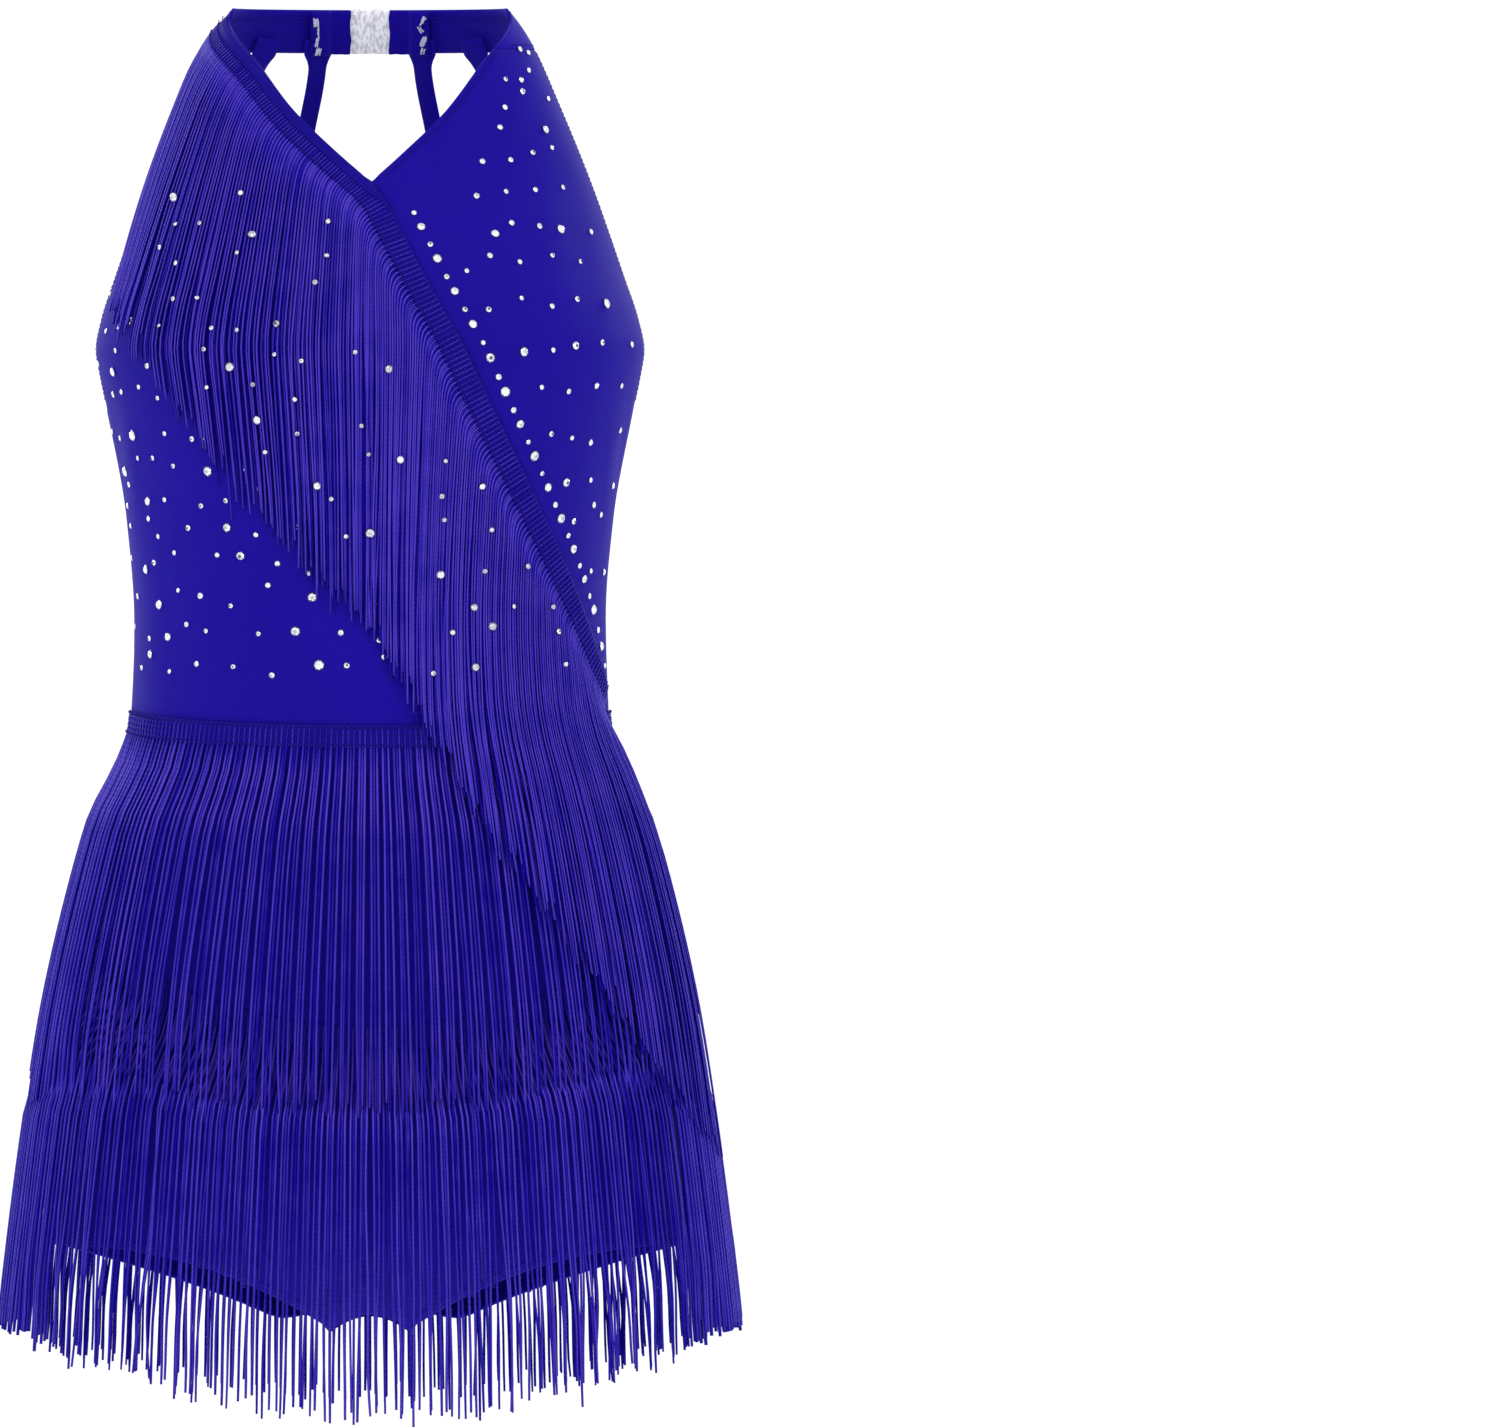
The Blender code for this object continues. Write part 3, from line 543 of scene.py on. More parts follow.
def add_shell(form, outer, inner):
    """A thin closed shell. Rows run down and columns to the right, seen from outside. Its rim is rounded."""
    rows, columns = outer.shape[:2]
    outer, inner = outer.copy(), inner.copy()
    rim = np.zeros((rows, columns), bool)
    rim[[0, -1], :] = True
    rim[:, [0, -1]] = True
    middle = (outer + inner) / 2
    outer[rim] = mix(middle[rim], outer[rim], RIM_THIN)
    inner[rim] = mix(middle[rim], inner[rim], RIM_THIN)
    step_across = np.linalg.norm(np.diff(outer, axis=1), axis=-1)
    step_down = np.linalg.norm(np.diff(outer, axis=0), axis=-1)
    across = np.concatenate([np.zeros((rows, 1)), np.cumsum(step_across, axis=1)], axis=1)
    down = np.concatenate([np.zeros((1, columns)), np.cumsum(step_down, axis=0)])
    across = across - across[:, columns // 2 : columns // 2 + 1]
    place = np.stack([across, down], axis=-1).reshape(-1, 2)
    size = rows * columns
    front = grid_faces(rows, columns)
    back = grid_faces(rows, columns)[:, [0, 3, 2, 1]] + size
    row, column = np.arange(rows), np.arange(columns)
    edge = np.concatenate(
        [
            row * columns,
            (rows - 1) * columns + column[1:],
            row[-2::-1] * columns + columns - 1,
            column[-2:0:-1],
        ]
    )
    here, there = edge, np.roll(edge, -1)
    side = np.stack([there, here, here + size, there + size], axis=-1)
    faces = np.concatenate([front, back, side])
    form.add(np.concatenate([outer.reshape(-1, 3), inner.reshape(-1, 3)]), faces, place[faces % size])


def add_body_shell(form, turn, height, out, thickness):
    """A shell on the body from grids of turns and heights."""
    lift = cloth_rise(turn, height)
    outer = BODY.point(turn, height, lift + out)
    inner = BODY.point(turn, height, lift + out - thickness)
    add_shell(form, outer, inner)


def add_cords(form, centres, normals, half_width, half_depth=None, sides=6, tones=None, square=1.0):
    """Tubes along rings of centres (cord, ring, xyz). Width runs across a cord, depth along its normals."""
    cords, rings = centres.shape[:2]

    def spread(size):
        return np.broadcast_to(np.asarray(size, float), (cords, rings))

    half_depth = spread(half_width if half_depth is None else half_depth)
    half_width = spread(half_width)
    along = unit(np.gradient(centres, axis=1))
    across = unit(np.cross(along, normals))
    out = np.cross(across, along)
    angle = 2 * np.pi * np.arange(sides) / sides
    cosine, sine = np.cos(angle), np.sin(angle)
    cosine, sine = np.sign(cosine) * np.abs(cosine) ** square, np.sign(sine) * np.abs(sine) ** square
    wide = half_width[..., None, None] * cosine[:, None] * across[:, :, None]
    deep = half_depth[..., None, None] * sine[:, None] * out[:, :, None]
    points = centres[:, :, None] + wide + deep
    step = np.linalg.norm(np.diff(centres, axis=1), axis=-1)
    length = np.concatenate([np.zeros((cords, 1)), np.cumsum(step, axis=1)], axis=1)
    cord, ring, side = np.meshgrid(np.arange(cords), np.arange(rings - 1), np.arange(sides), indexing="ij")
    ahead = (side + 1) % sides

    def at(r, s):
        return (cord * rings + r) * sides + s

    faces = np.stack([at(ring, side), at(ring + 1, side), at(ring + 1, ahead), at(ring, ahead)], axis=-1)
    u = np.stack([side, side, side + 1, side + 1], axis=-1) / sides
    start, end = length[cord, ring], length[cord, ring + 1]
    v = np.stack([start, end, end, start], axis=-1)
    places = np.stack([u, v], axis=-1)
    caps = []
    for r, order in ((0, (0, 1, 2, 3)), (rings - 1, (3, 2, 1, 0))):
        start = (np.arange(cords) * rings + r) * sides
        for first in range(1, sides - 2, 2):
            corner = [0, first, first + 1, first + 2]
            caps.append(np.stack([start + corner[i] for i in order], axis=-1))
    caps = np.concatenate(caps)
    faces = np.concatenate([faces.reshape(-1, 4), caps])
    places = np.concatenate([places.reshape(-1, 4, 2), np.zeros((len(caps), 4, 2))])
    if tones is not None:
        tones = np.repeat(spread(np.reshape(tones, (cords, -1))), sides)
    form.add(points, faces, places, tones)


def walk(turn, height, step):
    """Evenly spaced places along a line of places, about this far apart, and their distances along it."""
    points = BODY.point(turn, height)
    length = np.concatenate([[0.0], np.cumsum(np.linalg.norm(np.diff(points, axis=0), axis=-1))])
    count = max(2, int(round(length[-1] / step)) + 1)
    want = np.linspace(0, length[-1], count)
    return np.interp(want, length, turn), np.interp(want, length, height), want


def sideways(turn, height, distance):
    """Moves a line of places to its own left by a distance for each, on the body."""
    points = BODY.point(turn, height)
    along = unit(np.gradient(points, axis=0))
    left = np.cross(BODY.normal(turn, height), along)
    around = unit(BODY.bare(turn + 0.5, height) - BODY.bare(turn - 0.5, height))
    move = left * distance[:, None]
    shift = (move * around).sum(-1)
    return turn + BODY.degrees(shift, turn, height), height + move[:, 2]


def add_stitches(form, turn, height, out, stitch, thick, wave=0.0, folded=True):
    """A row of separate stitches along a line of places, or a zigzag where wave is given."""
    turn, height = walk(np.asarray(turn, float), np.asarray(height, float), stitch)[:2]
    if len(turn) < 3:
        return
    offset = wave * np.where(np.arange(len(turn)) % 2, 1.0, -1.0)
    turn, height = sideways(turn, height, offset)
    start = np.stack([turn[:-1], height[:-1]], axis=-1)
    end = np.stack([turn[1:], height[1:]], axis=-1)
    place = start[:, None] + (end - start)[:, None] * STITCH_SHARES[None, :, None]
    lift = cloth_rise(place[..., 0], place[..., 1]) if folded else 0.0
    centres = BODY.point(place[..., 0], place[..., 1], out + STITCH_RISE + lift)
    normals = BODY.normal(place[..., 0], place[..., 1])
    add_cords(form, centres, normals, thick / 2, sides=4)


# Settings


def metres(name, description, default):
    """A setting that is a length."""
    return bpy.props.FloatProperty(
        name=name, description=description, default=default, min=0.0, unit="LENGTH", precision=5
    )


def colour(name, description, default):
    """A setting that is a colour."""
    return bpy.props.FloatVectorProperty(
        name=name, description=description, default=default, size=3, min=0.0, max=1.0, subtype="COLOR"
    )


class LeotardClothSettings(bpy.types.PropertyGroup):
    """Sizes of the cloth and straps"""

    thickness: metres("Thickness", "Thickness of one layer of the knit", 0.0009)
    collar_thickness: metres("Collar thickness", "Thickness of the doubled neckband", 0.0019)
    hem_width: metres("Hem width", "Width of the turned hems", 0.006)
    strap_width: metres("Strap width", "Width of the back straps", 0.0095)
    grid: metres("Grid", "Distance between the points of a cloth mesh", 0.004)


class LeotardFringeSettings(bpy.types.PropertyGroup):
    """Sizes of the fringe's cords"""

    cord: metres("Cord", "Thickness of a cord of the diagonal row", 0.00118)
    diagonal_pitch: metres("Diagonal pitch", "Distance between cords along the diagonal tape", 0.00132)
    twist: metres("Twist", "Length of one turn of a cord's twist", 0.0026)
    ragged: metres("Ragged", "How unevenly the cords of the diagonal row end", 0.0055)


class LeotardTrimSettings(bpy.types.PropertyGroup):
    """Sizes of the sewing and the stones"""

    thread: metres("Thread", "Thickness of the sewing thread", 0.0004)
    stitch: metres("Stitch", "Length of one stitch", 0.0026)
    small_stone: metres("Small stone", "Width of a small stone", 0.003)
    large_stone: metres("Large stone", "Width of a large stone", 0.0047)


class LeotardColourSettings(bpy.types.PropertyGroup):
    """Colours of the finishes"""

    cloth: colour("Cloth", "Colour of the knit", (0.0075, 0.0006, 0.272))
    sheen: colour("Sheen", "Colour of the knit's soft sheen", (0.30, 0.20, 1.0))
    # A cord's two colours are painted light: painted shade on its flanks and a painted highlight along its
    # outer side.
    cord_shade: colour("Cord, dark", "Colour of a cord's flanks", (0.003, 0.0, 0.262))
    cord_highlight: colour("Cord, light", "Colour of a cord's outer side", (0.068, 0.038, 0.47))
    gloss: colour("Gloss", "Colour of the light on a cord", (0.55, 0.42, 1.0))
    thread: colour("Thread", "Colour of the sewing thread", (0.011, 0.003, 0.26))
    tack: colour("Tack", "Colour of the pale tacking thread", (0.66, 0.64, 0.76))
    clasp: colour("Clasp", "Colour of the clear clasp", (0.97, 0.97, 1.0))
    stone: colour("Stone", "Colour of the foiled stones", (0.97, 0.975, 1.0))
    # The setting colour is a painted shadow: the dark ring round each stone's foot.
    setting: colour("Setting", "Colour of the rim under a stone", (0.008, 0.002, 0.10))


class LeotardStageSettings(bpy.types.PropertyGroup):
    """Sizes of the stage and strength of its light"""

    distance: metres("Distance", "Distance from the camera to the garment", 16.0)
    floor_drop: metres("Floor drop", "Distance from the neck to the floor", 1.7)
    light: bpy.props.FloatProperty(
        name="Light", description="Strength of the surrounding light", default=0.95, min=0.0
    )


# Materials


class Finish:
    """A material's shader with a few short ways to add nodes to it."""

    def __init__(self, name):
        self.material = bpy.data.materials.new(name)
        self.material.use_nodes = True
        self.tree = self.material.node_tree
        self.shader = self.tree.nodes["Principled BSDF"]

    def set(self, **values):
        """Sets the shader's own values by name."""
        for name, value in values.items():
            socket = self.shader.inputs[name.replace("_", " ").title().replace("Ior", "IOR")]
            socket.default_value = (*value, 1.0) if hasattr(value, "__len__") else value
        return self

    def node(self, kind, settings=(), **inputs):
        """Adds a node and fills its inputs."""
        node = self.tree.nodes.new(kind)
        for name, value in dict(settings).items():
            setattr(node, name, value)
        for name, value in inputs.items():
            self.feed(node.inputs[name], value)
        return node

    def feed(self, socket, value):
        """Joins or sets one input."""
        if isinstance(value, bpy.types.NodeSocket):
            self.tree.links.new(value, socket)
        elif hasattr(value, "__len__") and len(value) == 3 and socket.type == "RGBA":
            socket.default_value = (*value, 1.0)
        else:
            socket.default_value = value

    def math(self, operation, a, b=0.0):
        """A sum, product or other step of two values."""
        node = self.tree.nodes.new("ShaderNodeMath")
        node.operation = operation
        self.feed(node.inputs[0], a)
        self.feed(node.inputs[1], b)
        return node.outputs[0]

    def blend(self, share, a, b):
        """A colour between two others."""
        node = self.node("ShaderNodeMix", {"data_type": "RGBA"})
        self.feed(node.inputs["Factor"], share)
        self.feed(node.inputs["A"], a)
        self.feed(node.inputs["B"], b)
        return node.outputs["Result"]

    def noise(self, scale, detail=2.0, place=None):
        """Soft cloudy variation in the cloth's space."""
        if place is None:
            place = self.node("ShaderNodeTexCoord").outputs["Object"]
        return self.node("ShaderNodeTexNoise", Vector=place, Scale=scale, Detail=detail).outputs["Fac"]

    def range(self, value, low, high, start, end):
        """A value moved from one range to another."""
        node = self.node("ShaderNodeMapRange", Value=value)
        for name, number in (("From Min", low), ("From Max", high), ("To Min", start), ("To Max", end)):
            node.inputs[name].default_value = number
        return node.outputs["Result"]

    def uv(self):
        """The place on the piece, along and across, in millimetres or as a share."""
        place = self.node("ShaderNodeUVMap", {"uv_map": "cloth"}).outputs["UV"]
        split = self.node("ShaderNodeSeparateXYZ", Vector=place)
        return split.outputs["X"], split.outputs["Y"]

    def wave(self, value, length=1.0):
        """A sine wave along a value, with the given wave length."""
        return self.math("SINE", self.math("MULTIPLY", value, 2 * math.pi / length))

    def paint(self, tint):
        """Gives the shader its colour."""
        self.tree.links.new(tint, self.shader.inputs["Base Color"])

    def bump(self, height, depth, strength=1.0):
        """Fine relief on the surface."""
        node = self.node("ShaderNodeBump", Height=height, Distance=depth, Strength=strength)
        self.tree.links.new(node.outputs["Normal"], self.shader.inputs["Normal"])


def scaled(value, factor):
    """A colour made lighter or darker."""
    return tuple(min(1.0, part * factor) for part in value)


def knit_finish(name, base, sheen, coarse=1.0):
    """Smooth stretch knit: fine upright wales crossed by rows of loops, and a soft sheen."""
    finish = Finish(name)
    finish.set(roughness=0.62, specular_ior_level=0.07)
    finish.set(sheen_weight=0.13, sheen_roughness=0.4, sheen_tint=sheen)
    u, v = finish.uv()
    wale = finish.wave(u, KNIT_PITCH * coarse)
    loop = finish.wave(v, KNIT_PITCH * coarse * 0.8)
    knit = finish.math("MULTIPLY", finish.math("ADD", wale, 1.2), finish.math("ADD", loop, 1.6))
    grain = finish.noise(2600.0, 3.0)
    broad = finish.noise(14.0, 3.0)
    shade = finish.range(broad, 0.3, 0.7, 0.25, 0.75)
    shade = finish.math("ADD", shade, finish.range(grain, 0.2, 0.8, -0.25, 0.25))
    tint = finish.blend(shade, scaled(base, 0.88), scaled(base, 1.14))
    finish.paint(tint)
    finish.bump(finish.math("ADD", knit, finish.math("MULTIPLY", grain, 2.0)), 0.00005, 0.5)
    return finish.material


def cord_finish(name, dark, light, gloss, twist):
    """Twisted rayon cord with plies that wind round it. Its outer side is painted lighter and its flanks
    darker, as a painted highlight and painted shade, scaled by a tone of its own.
    """
    finish = Finish(name)
    finish.set(roughness=0.5, specular_ior_level=0.14, specular_tint=gloss)
    finish.set(sheen_weight=0.03, sheen_roughness=0.35, sheen_tint=gloss)
    u, v = finish.uv()
    # The crown: a painted highlight along each cord's outer side, fading to painted shade on its flanks.
    round_it = finish.math("MULTIPLY", finish.math("SUBTRACT", u, 0.25), 2 * math.pi)
    crown = finish.range(finish.math("COSINE", round_it), 0.35, 1.0, 0.0, 1.0)
    # The plies wind round the cord; their stripes in the colour are painted shade between the plies, and they
    # also make the bump.
    turns = finish.math("ADD", finish.math("MULTIPLY", u, 2.0), finish.math("DIVIDE", v, twist / MM))
    plies = finish.wave(turns)
    tone = finish.node("ShaderNodeAttribute", {"attribute_name": "tone"}).outputs["Fac"]
    hair = finish.noise(1500.0, 2.0)
    patch = finish.noise(60.0, 2.0)
    # The crown's painted highlight times the cord's tone and random patches, then the plies' painted shade
    # and the fibres' own variation.
    lit = finish.math("MULTIPLY", crown, finish.math("ADD", tone, finish.range(patch, 0.3, 0.7, -0.18, 0.18)))
    shade_and_tone = finish.math("MULTIPLY", lit, finish.range(plies, -1.0, 1.0, 0.8, 1.15))
    shade_and_tone = finish.math("MULTIPLY", shade_and_tone, finish.range(hair, 0.2, 0.8, 0.85, 1.15))
    finish.paint(finish.blend(shade_and_tone, dark, light))
    finish.bump(finish.math("ADD", plies, finish.math("MULTIPLY", hair, 0.8)), 0.00012, 0.5)
    return finish.material


def thread_finish(name, base, shine):
    """Sewing thread with a fine twist, striped lighter and darker along the twist as painted shade between
    its plies.
    """
    finish = Finish(name)
    finish.set(roughness=0.5, specular_ior_level=shine)
    u, v = finish.uv()
    turns = finish.math("ADD", u, finish.math("DIVIDE", v, THREAD_TWIST))
    twist = finish.wave(turns)
    # The twist's stripes in the colour are painted shade between the plies.
    tint = finish.blend(finish.range(twist, -1.0, 1.0, 0.0, 1.0), scaled(base, 0.8), scaled(base, 1.15))
    finish.paint(tint)
    finish.bump(twist, 0.00003, 0.5)
    return finish.material


def clear_finish(name, base):
    """Clear moulded plastic, a little cloudy, with upright flow marks and tiny scratches. It glows faintly in
    its own colour: painted light.
    """
    finish = Finish(name)
    finish.set(roughness=0.22, transmission_weight=0.1, ior=1.49, coat_weight=0.4, coat_roughness=0.1)
    # A faint glow in the clasp's own colour is painted light, so the clear plastic reads bright where little
    # light reaches it.
    finish.set(emission_color=base, emission_strength=0.13)
    place = finish.node("ShaderNodeTexCoord").outputs["Object"]
    drawn = finish.node("ShaderNodeMapping", Vector=place, Scale=(1.0, 1.0, 0.025)).outputs["Vector"]
    flow = finish.noise(620.0, 2.0, drawn)
    cloud = finish.noise(260.0, 4.0)
    marks = finish.noise(1900.0, 2.0)
    shade = finish.range(flow, 0.4, 0.56, 0.0, 0.85)
    shade = finish.math("ADD", shade, finish.range(cloud, 0.35, 0.65, 0.0, 0.3))
    finish.paint(finish.blend(shade, scaled(base, 0.5), base))
    finish.tree.links.new(finish.range(marks, 0.3, 0.7, 0.16, 0.32), finish.shader.inputs["Roughness"])
    finish.bump(finish.math("ADD", flow, cloud), 0.0002, 0.35)
    return finish.material


def stone_finish(name, base, setting):
    """Foil-backed cut glass. Where the tone is low it takes the setting colour, a painted shadow on the rim
    round each stone's foot, and each facet's tone is a painted reflection.
    """
    finish = Finish(name)
    finish.set(roughness=0.07, metallic=0.8, coat_weight=0.5, coat_roughness=0.03)
    tone = finish.node("ShaderNodeAttribute", {"attribute_name": "tone"}).outputs["Fac"]
    # Glints: noise that lightens and darkens the facets' painted reflections.
    glint = finish.noise(900.0, 1.0)
    shade = finish.math("MULTIPLY", tone, finish.range(glint, 0.3, 0.6, 0.8, 1.1))
    finish.paint(finish.blend(shade, setting, base))
    return finish.material


def wall_finish(name, shade):
    """Matt paper."""
    finish = Finish(name)
    finish.set(roughness=0.9, specular_ior_level=0.1, emission_color=(1.0, 1.0, 1.0), emission_strength=0.14)
    grain = finish.noise(3.0, 3.0)
    tint = finish.blend(grain, scaled(shade, 0.985), shade)
    finish.paint(tint)
    return finish.material


def material(name):
    """The named finish, made when it is first asked for."""
    if name in bpy.data.materials:
        return bpy.data.materials[name]
    colours = bpy.context.scene.leotard_colours
    cloth, sheen = tuple(colours.cloth), tuple(colours.sheen)
    dark, light, gloss = tuple(colours.cord_shade), tuple(colours.cord_highlight), tuple(colours.gloss)
    twist = bpy.context.scene.leotard_fringe.twist
    makers = {
        "knit": lambda: knit_finish("knit", cloth, sheen),
        "binding_knit": lambda: knit_finish("binding_knit", scaled(cloth, 1.1), sheen, 0.8),
        "tape_weave": lambda: knit_finish("tape_weave", scaled(cloth, 0.8), sheen, 1.6),
        "cord": lambda: cord_finish("cord", dark, light, gloss, twist),
        "thread": lambda: thread_finish("thread", tuple(colours.thread), 0.12),
        "tack_thread": lambda: thread_finish("tack_thread", tuple(colours.tack), 0.4),
        "clasp_plastic": lambda: clear_finish("clasp_plastic", tuple(colours.clasp)),
        "stone": lambda: stone_finish("stone", tuple(colours.stone), tuple(colours.setting)),
    }
    return makers[name]()


# Cloth pieces


def grid_count(span, grid):
    """How many steps of about this size make up a span."""
    return max(3, int(round(span / grid)))


def neck_or_crossing(height, side):
    """The turn of the front's inner edge: neckline above the vee, crossing seam below it."""
    gap = BODY.degrees(CLOSED_GAP, np.zeros_like(height), height)
    return np.where(
        height > VEE,
        side * BODY.turn_at(NECK_REACH(height), height),
        CROSSING_TURN(height) + side * gap,
    )


class LEOTARD_OT_front_panels(bpy.types.Operator):
    """Sews the wrap panel and the overlap panel of the front"""

    bl_idname = "leotard.front_panels"
    bl_label = "Front panels"

    def execute(self, context):
        cloth = context.scene.leotard_cloth
        self.grid, self.thick = cloth.grid / MM, cloth.thickness / MM
        top = COLLAR_SEAM - SEAM_GAP
        upper = mix(top, VEE, shares(grid_count(top - VEE, self.grid)))
        upper = np.insert(upper, 1, top - RIM_STEP)
        lower = mix(VEE, OVERLAP_END, shares(grid_count(VEE - OVERLAP_END, self.grid)))[1:]
        height = np.concatenate([upper, lower, [OVERLAP_END - 5, WAIST + RIM_STEP, WAIST]])
        start = np.full_like(height, -SIDE_TURN)
        end = np.where(height < OVERLAP_END - 1, SIDE_TURN, neck_or_crossing(height, -1))
        wrap = self.panel("front_wrap", height, start, end, WRAP_SPAN)

        height = np.concatenate([upper, lower])
        start, end = neck_or_crossing(height, 1), np.full_like(height, SIDE_TURN)
        overlap = self.panel("front_overlap", height, start, end, OVERLAP_SPAN)
        return {"FINISHED"}

    def panel(self, name, height, start, end, span):
        """A panel between two edges that run down the body."""
        across = shares(grid_count(span, self.grid), RIM_ACROSS)
        turn = mix(start[:, None], end[:, None], across)
        form = Form()
        add_body_shell(form, turn, dipped(turn, height[:, None]), 0.0, self.thick)
        return form.make(f"{name}_cloth", material("knit"), "cloth", [f"{name}_panel"])


class LEOTARD_OT_back_panel(bpy.types.Operator):
    """Sews the low back panel"""

    bl_idname = "leotard.back_panel"
    bl_label = "Back panel"

    def execute(self, context):
        cloth = context.scene.leotard_cloth
        grid, thick = cloth.grid / MM, cloth.thickness / MM
        turn = mix(180 - SIDE_TURN, 180 + SIDE_TURN, shares(grid_count(BACK_SPAN, grid), RIM_DOWN))
        down = shares(grid_count(BACK_DROP, grid), 2 * RIM_DOWN)
        top, bottom = back_edge_height(turn), waist_height(turn)
        height = mix(top[None], bottom[None], down[:, None])
        form = Form()
        add_body_shell(form, np.broadcast_to(turn, height.shape), height, 0.0, thick)
        back = form.make("back_cloth", material("knit"), "cloth", ["back_panel"])
        return {"FINISHED"}


class LEOTARD_OT_briefs(bpy.types.Operator):
    """Sews the brief's front, back and gusset"""

    bl_idname = "leotard.briefs"
    bl_label = "Brief"

    def execute(self, context):
        cloth = context.scene.leotard_cloth
        grid, thick = BRIEF_COARSER * cloth.grid / MM, cloth.thickness / MM
        for side, middle, crotch, leg_height, area in (
            ("front", 0, GUSSET_FRONT, leg_front_height, 0.105),
            ("back", 180, GUSSET_BACK, leg_back_height, 0.108),
        ):
            corner = math.degrees(math.asin(crotch / LEG_HALF_WIDTH))
            flank = mix(-SIDE_TURN, -corner, shares(grid_count(BRIEF_FLANK, grid)))
            flank = np.insert(flank, 1, RIM_TURN - SIDE_TURN)
            crotch_turns = mix(-corner, corner, shares(grid_count(2 * crotch, grid)))[1:-1]
            turn = middle + np.concatenate([flank, crotch_turns, -flank[::-1]])
            down = shares(grid_count(BRIEF_DROP, grid), RIM_DOWN)
            height = mix((waist_height(turn) - SEAM_GAP)[None], leg_height(turn)[None], down[:, None])
            form = Form()
            add_body_shell(form, np.broadcast_to(turn, height.shape), height, 0.0, thick)
            brief = form.make(f"brief_cloth_{side}", material("knit"), "cloth", [f"brief_{side}"])
        self.gusset(thick)
        return {"FINISHED"}

    def gusset(self, thick):
        """The crotch piece bridges the two lower edges and sags a little between them."""
        side = np.linspace(-1, 1, 17)
        share = shares(22, 0.02)[:, None]
        front = side * math.degrees(math.asin(GUSSET_FRONT / LEG_HALF_WIDTH))
        back = 180 - side * math.degrees(math.asin(GUSSET_BACK / LEG_HALF_WIDTH))
        front_height = leg_front_height(front) - 2 * SEAM_GAP
        back_height = leg_back_height(back) - 2 * SEAM_GAP
        start, end = BODY.point(front, front_height), BODY.point(back, back_height)
        share = share[..., None]
        outer = mix(start[None], end[None], share)
        outer[..., 2] -= (GUSSET_SAG * 4 * share * (1 - share))[..., 0]
        down = np.array([0.0, 0.0, -1.0])
        normal = unit(
            BODY.normal(front, front_height)[None] * (1 - share) ** 2
            + down * 2 * share * (1 - share)
            + BODY.normal(back, back_height)[None] * share**2
        )
        form = Form()
        add_shell(form, outer, outer - normal * thick)
        piece = form.make("gusset_cloth", material("knit"), "cloth", ["gusset"])


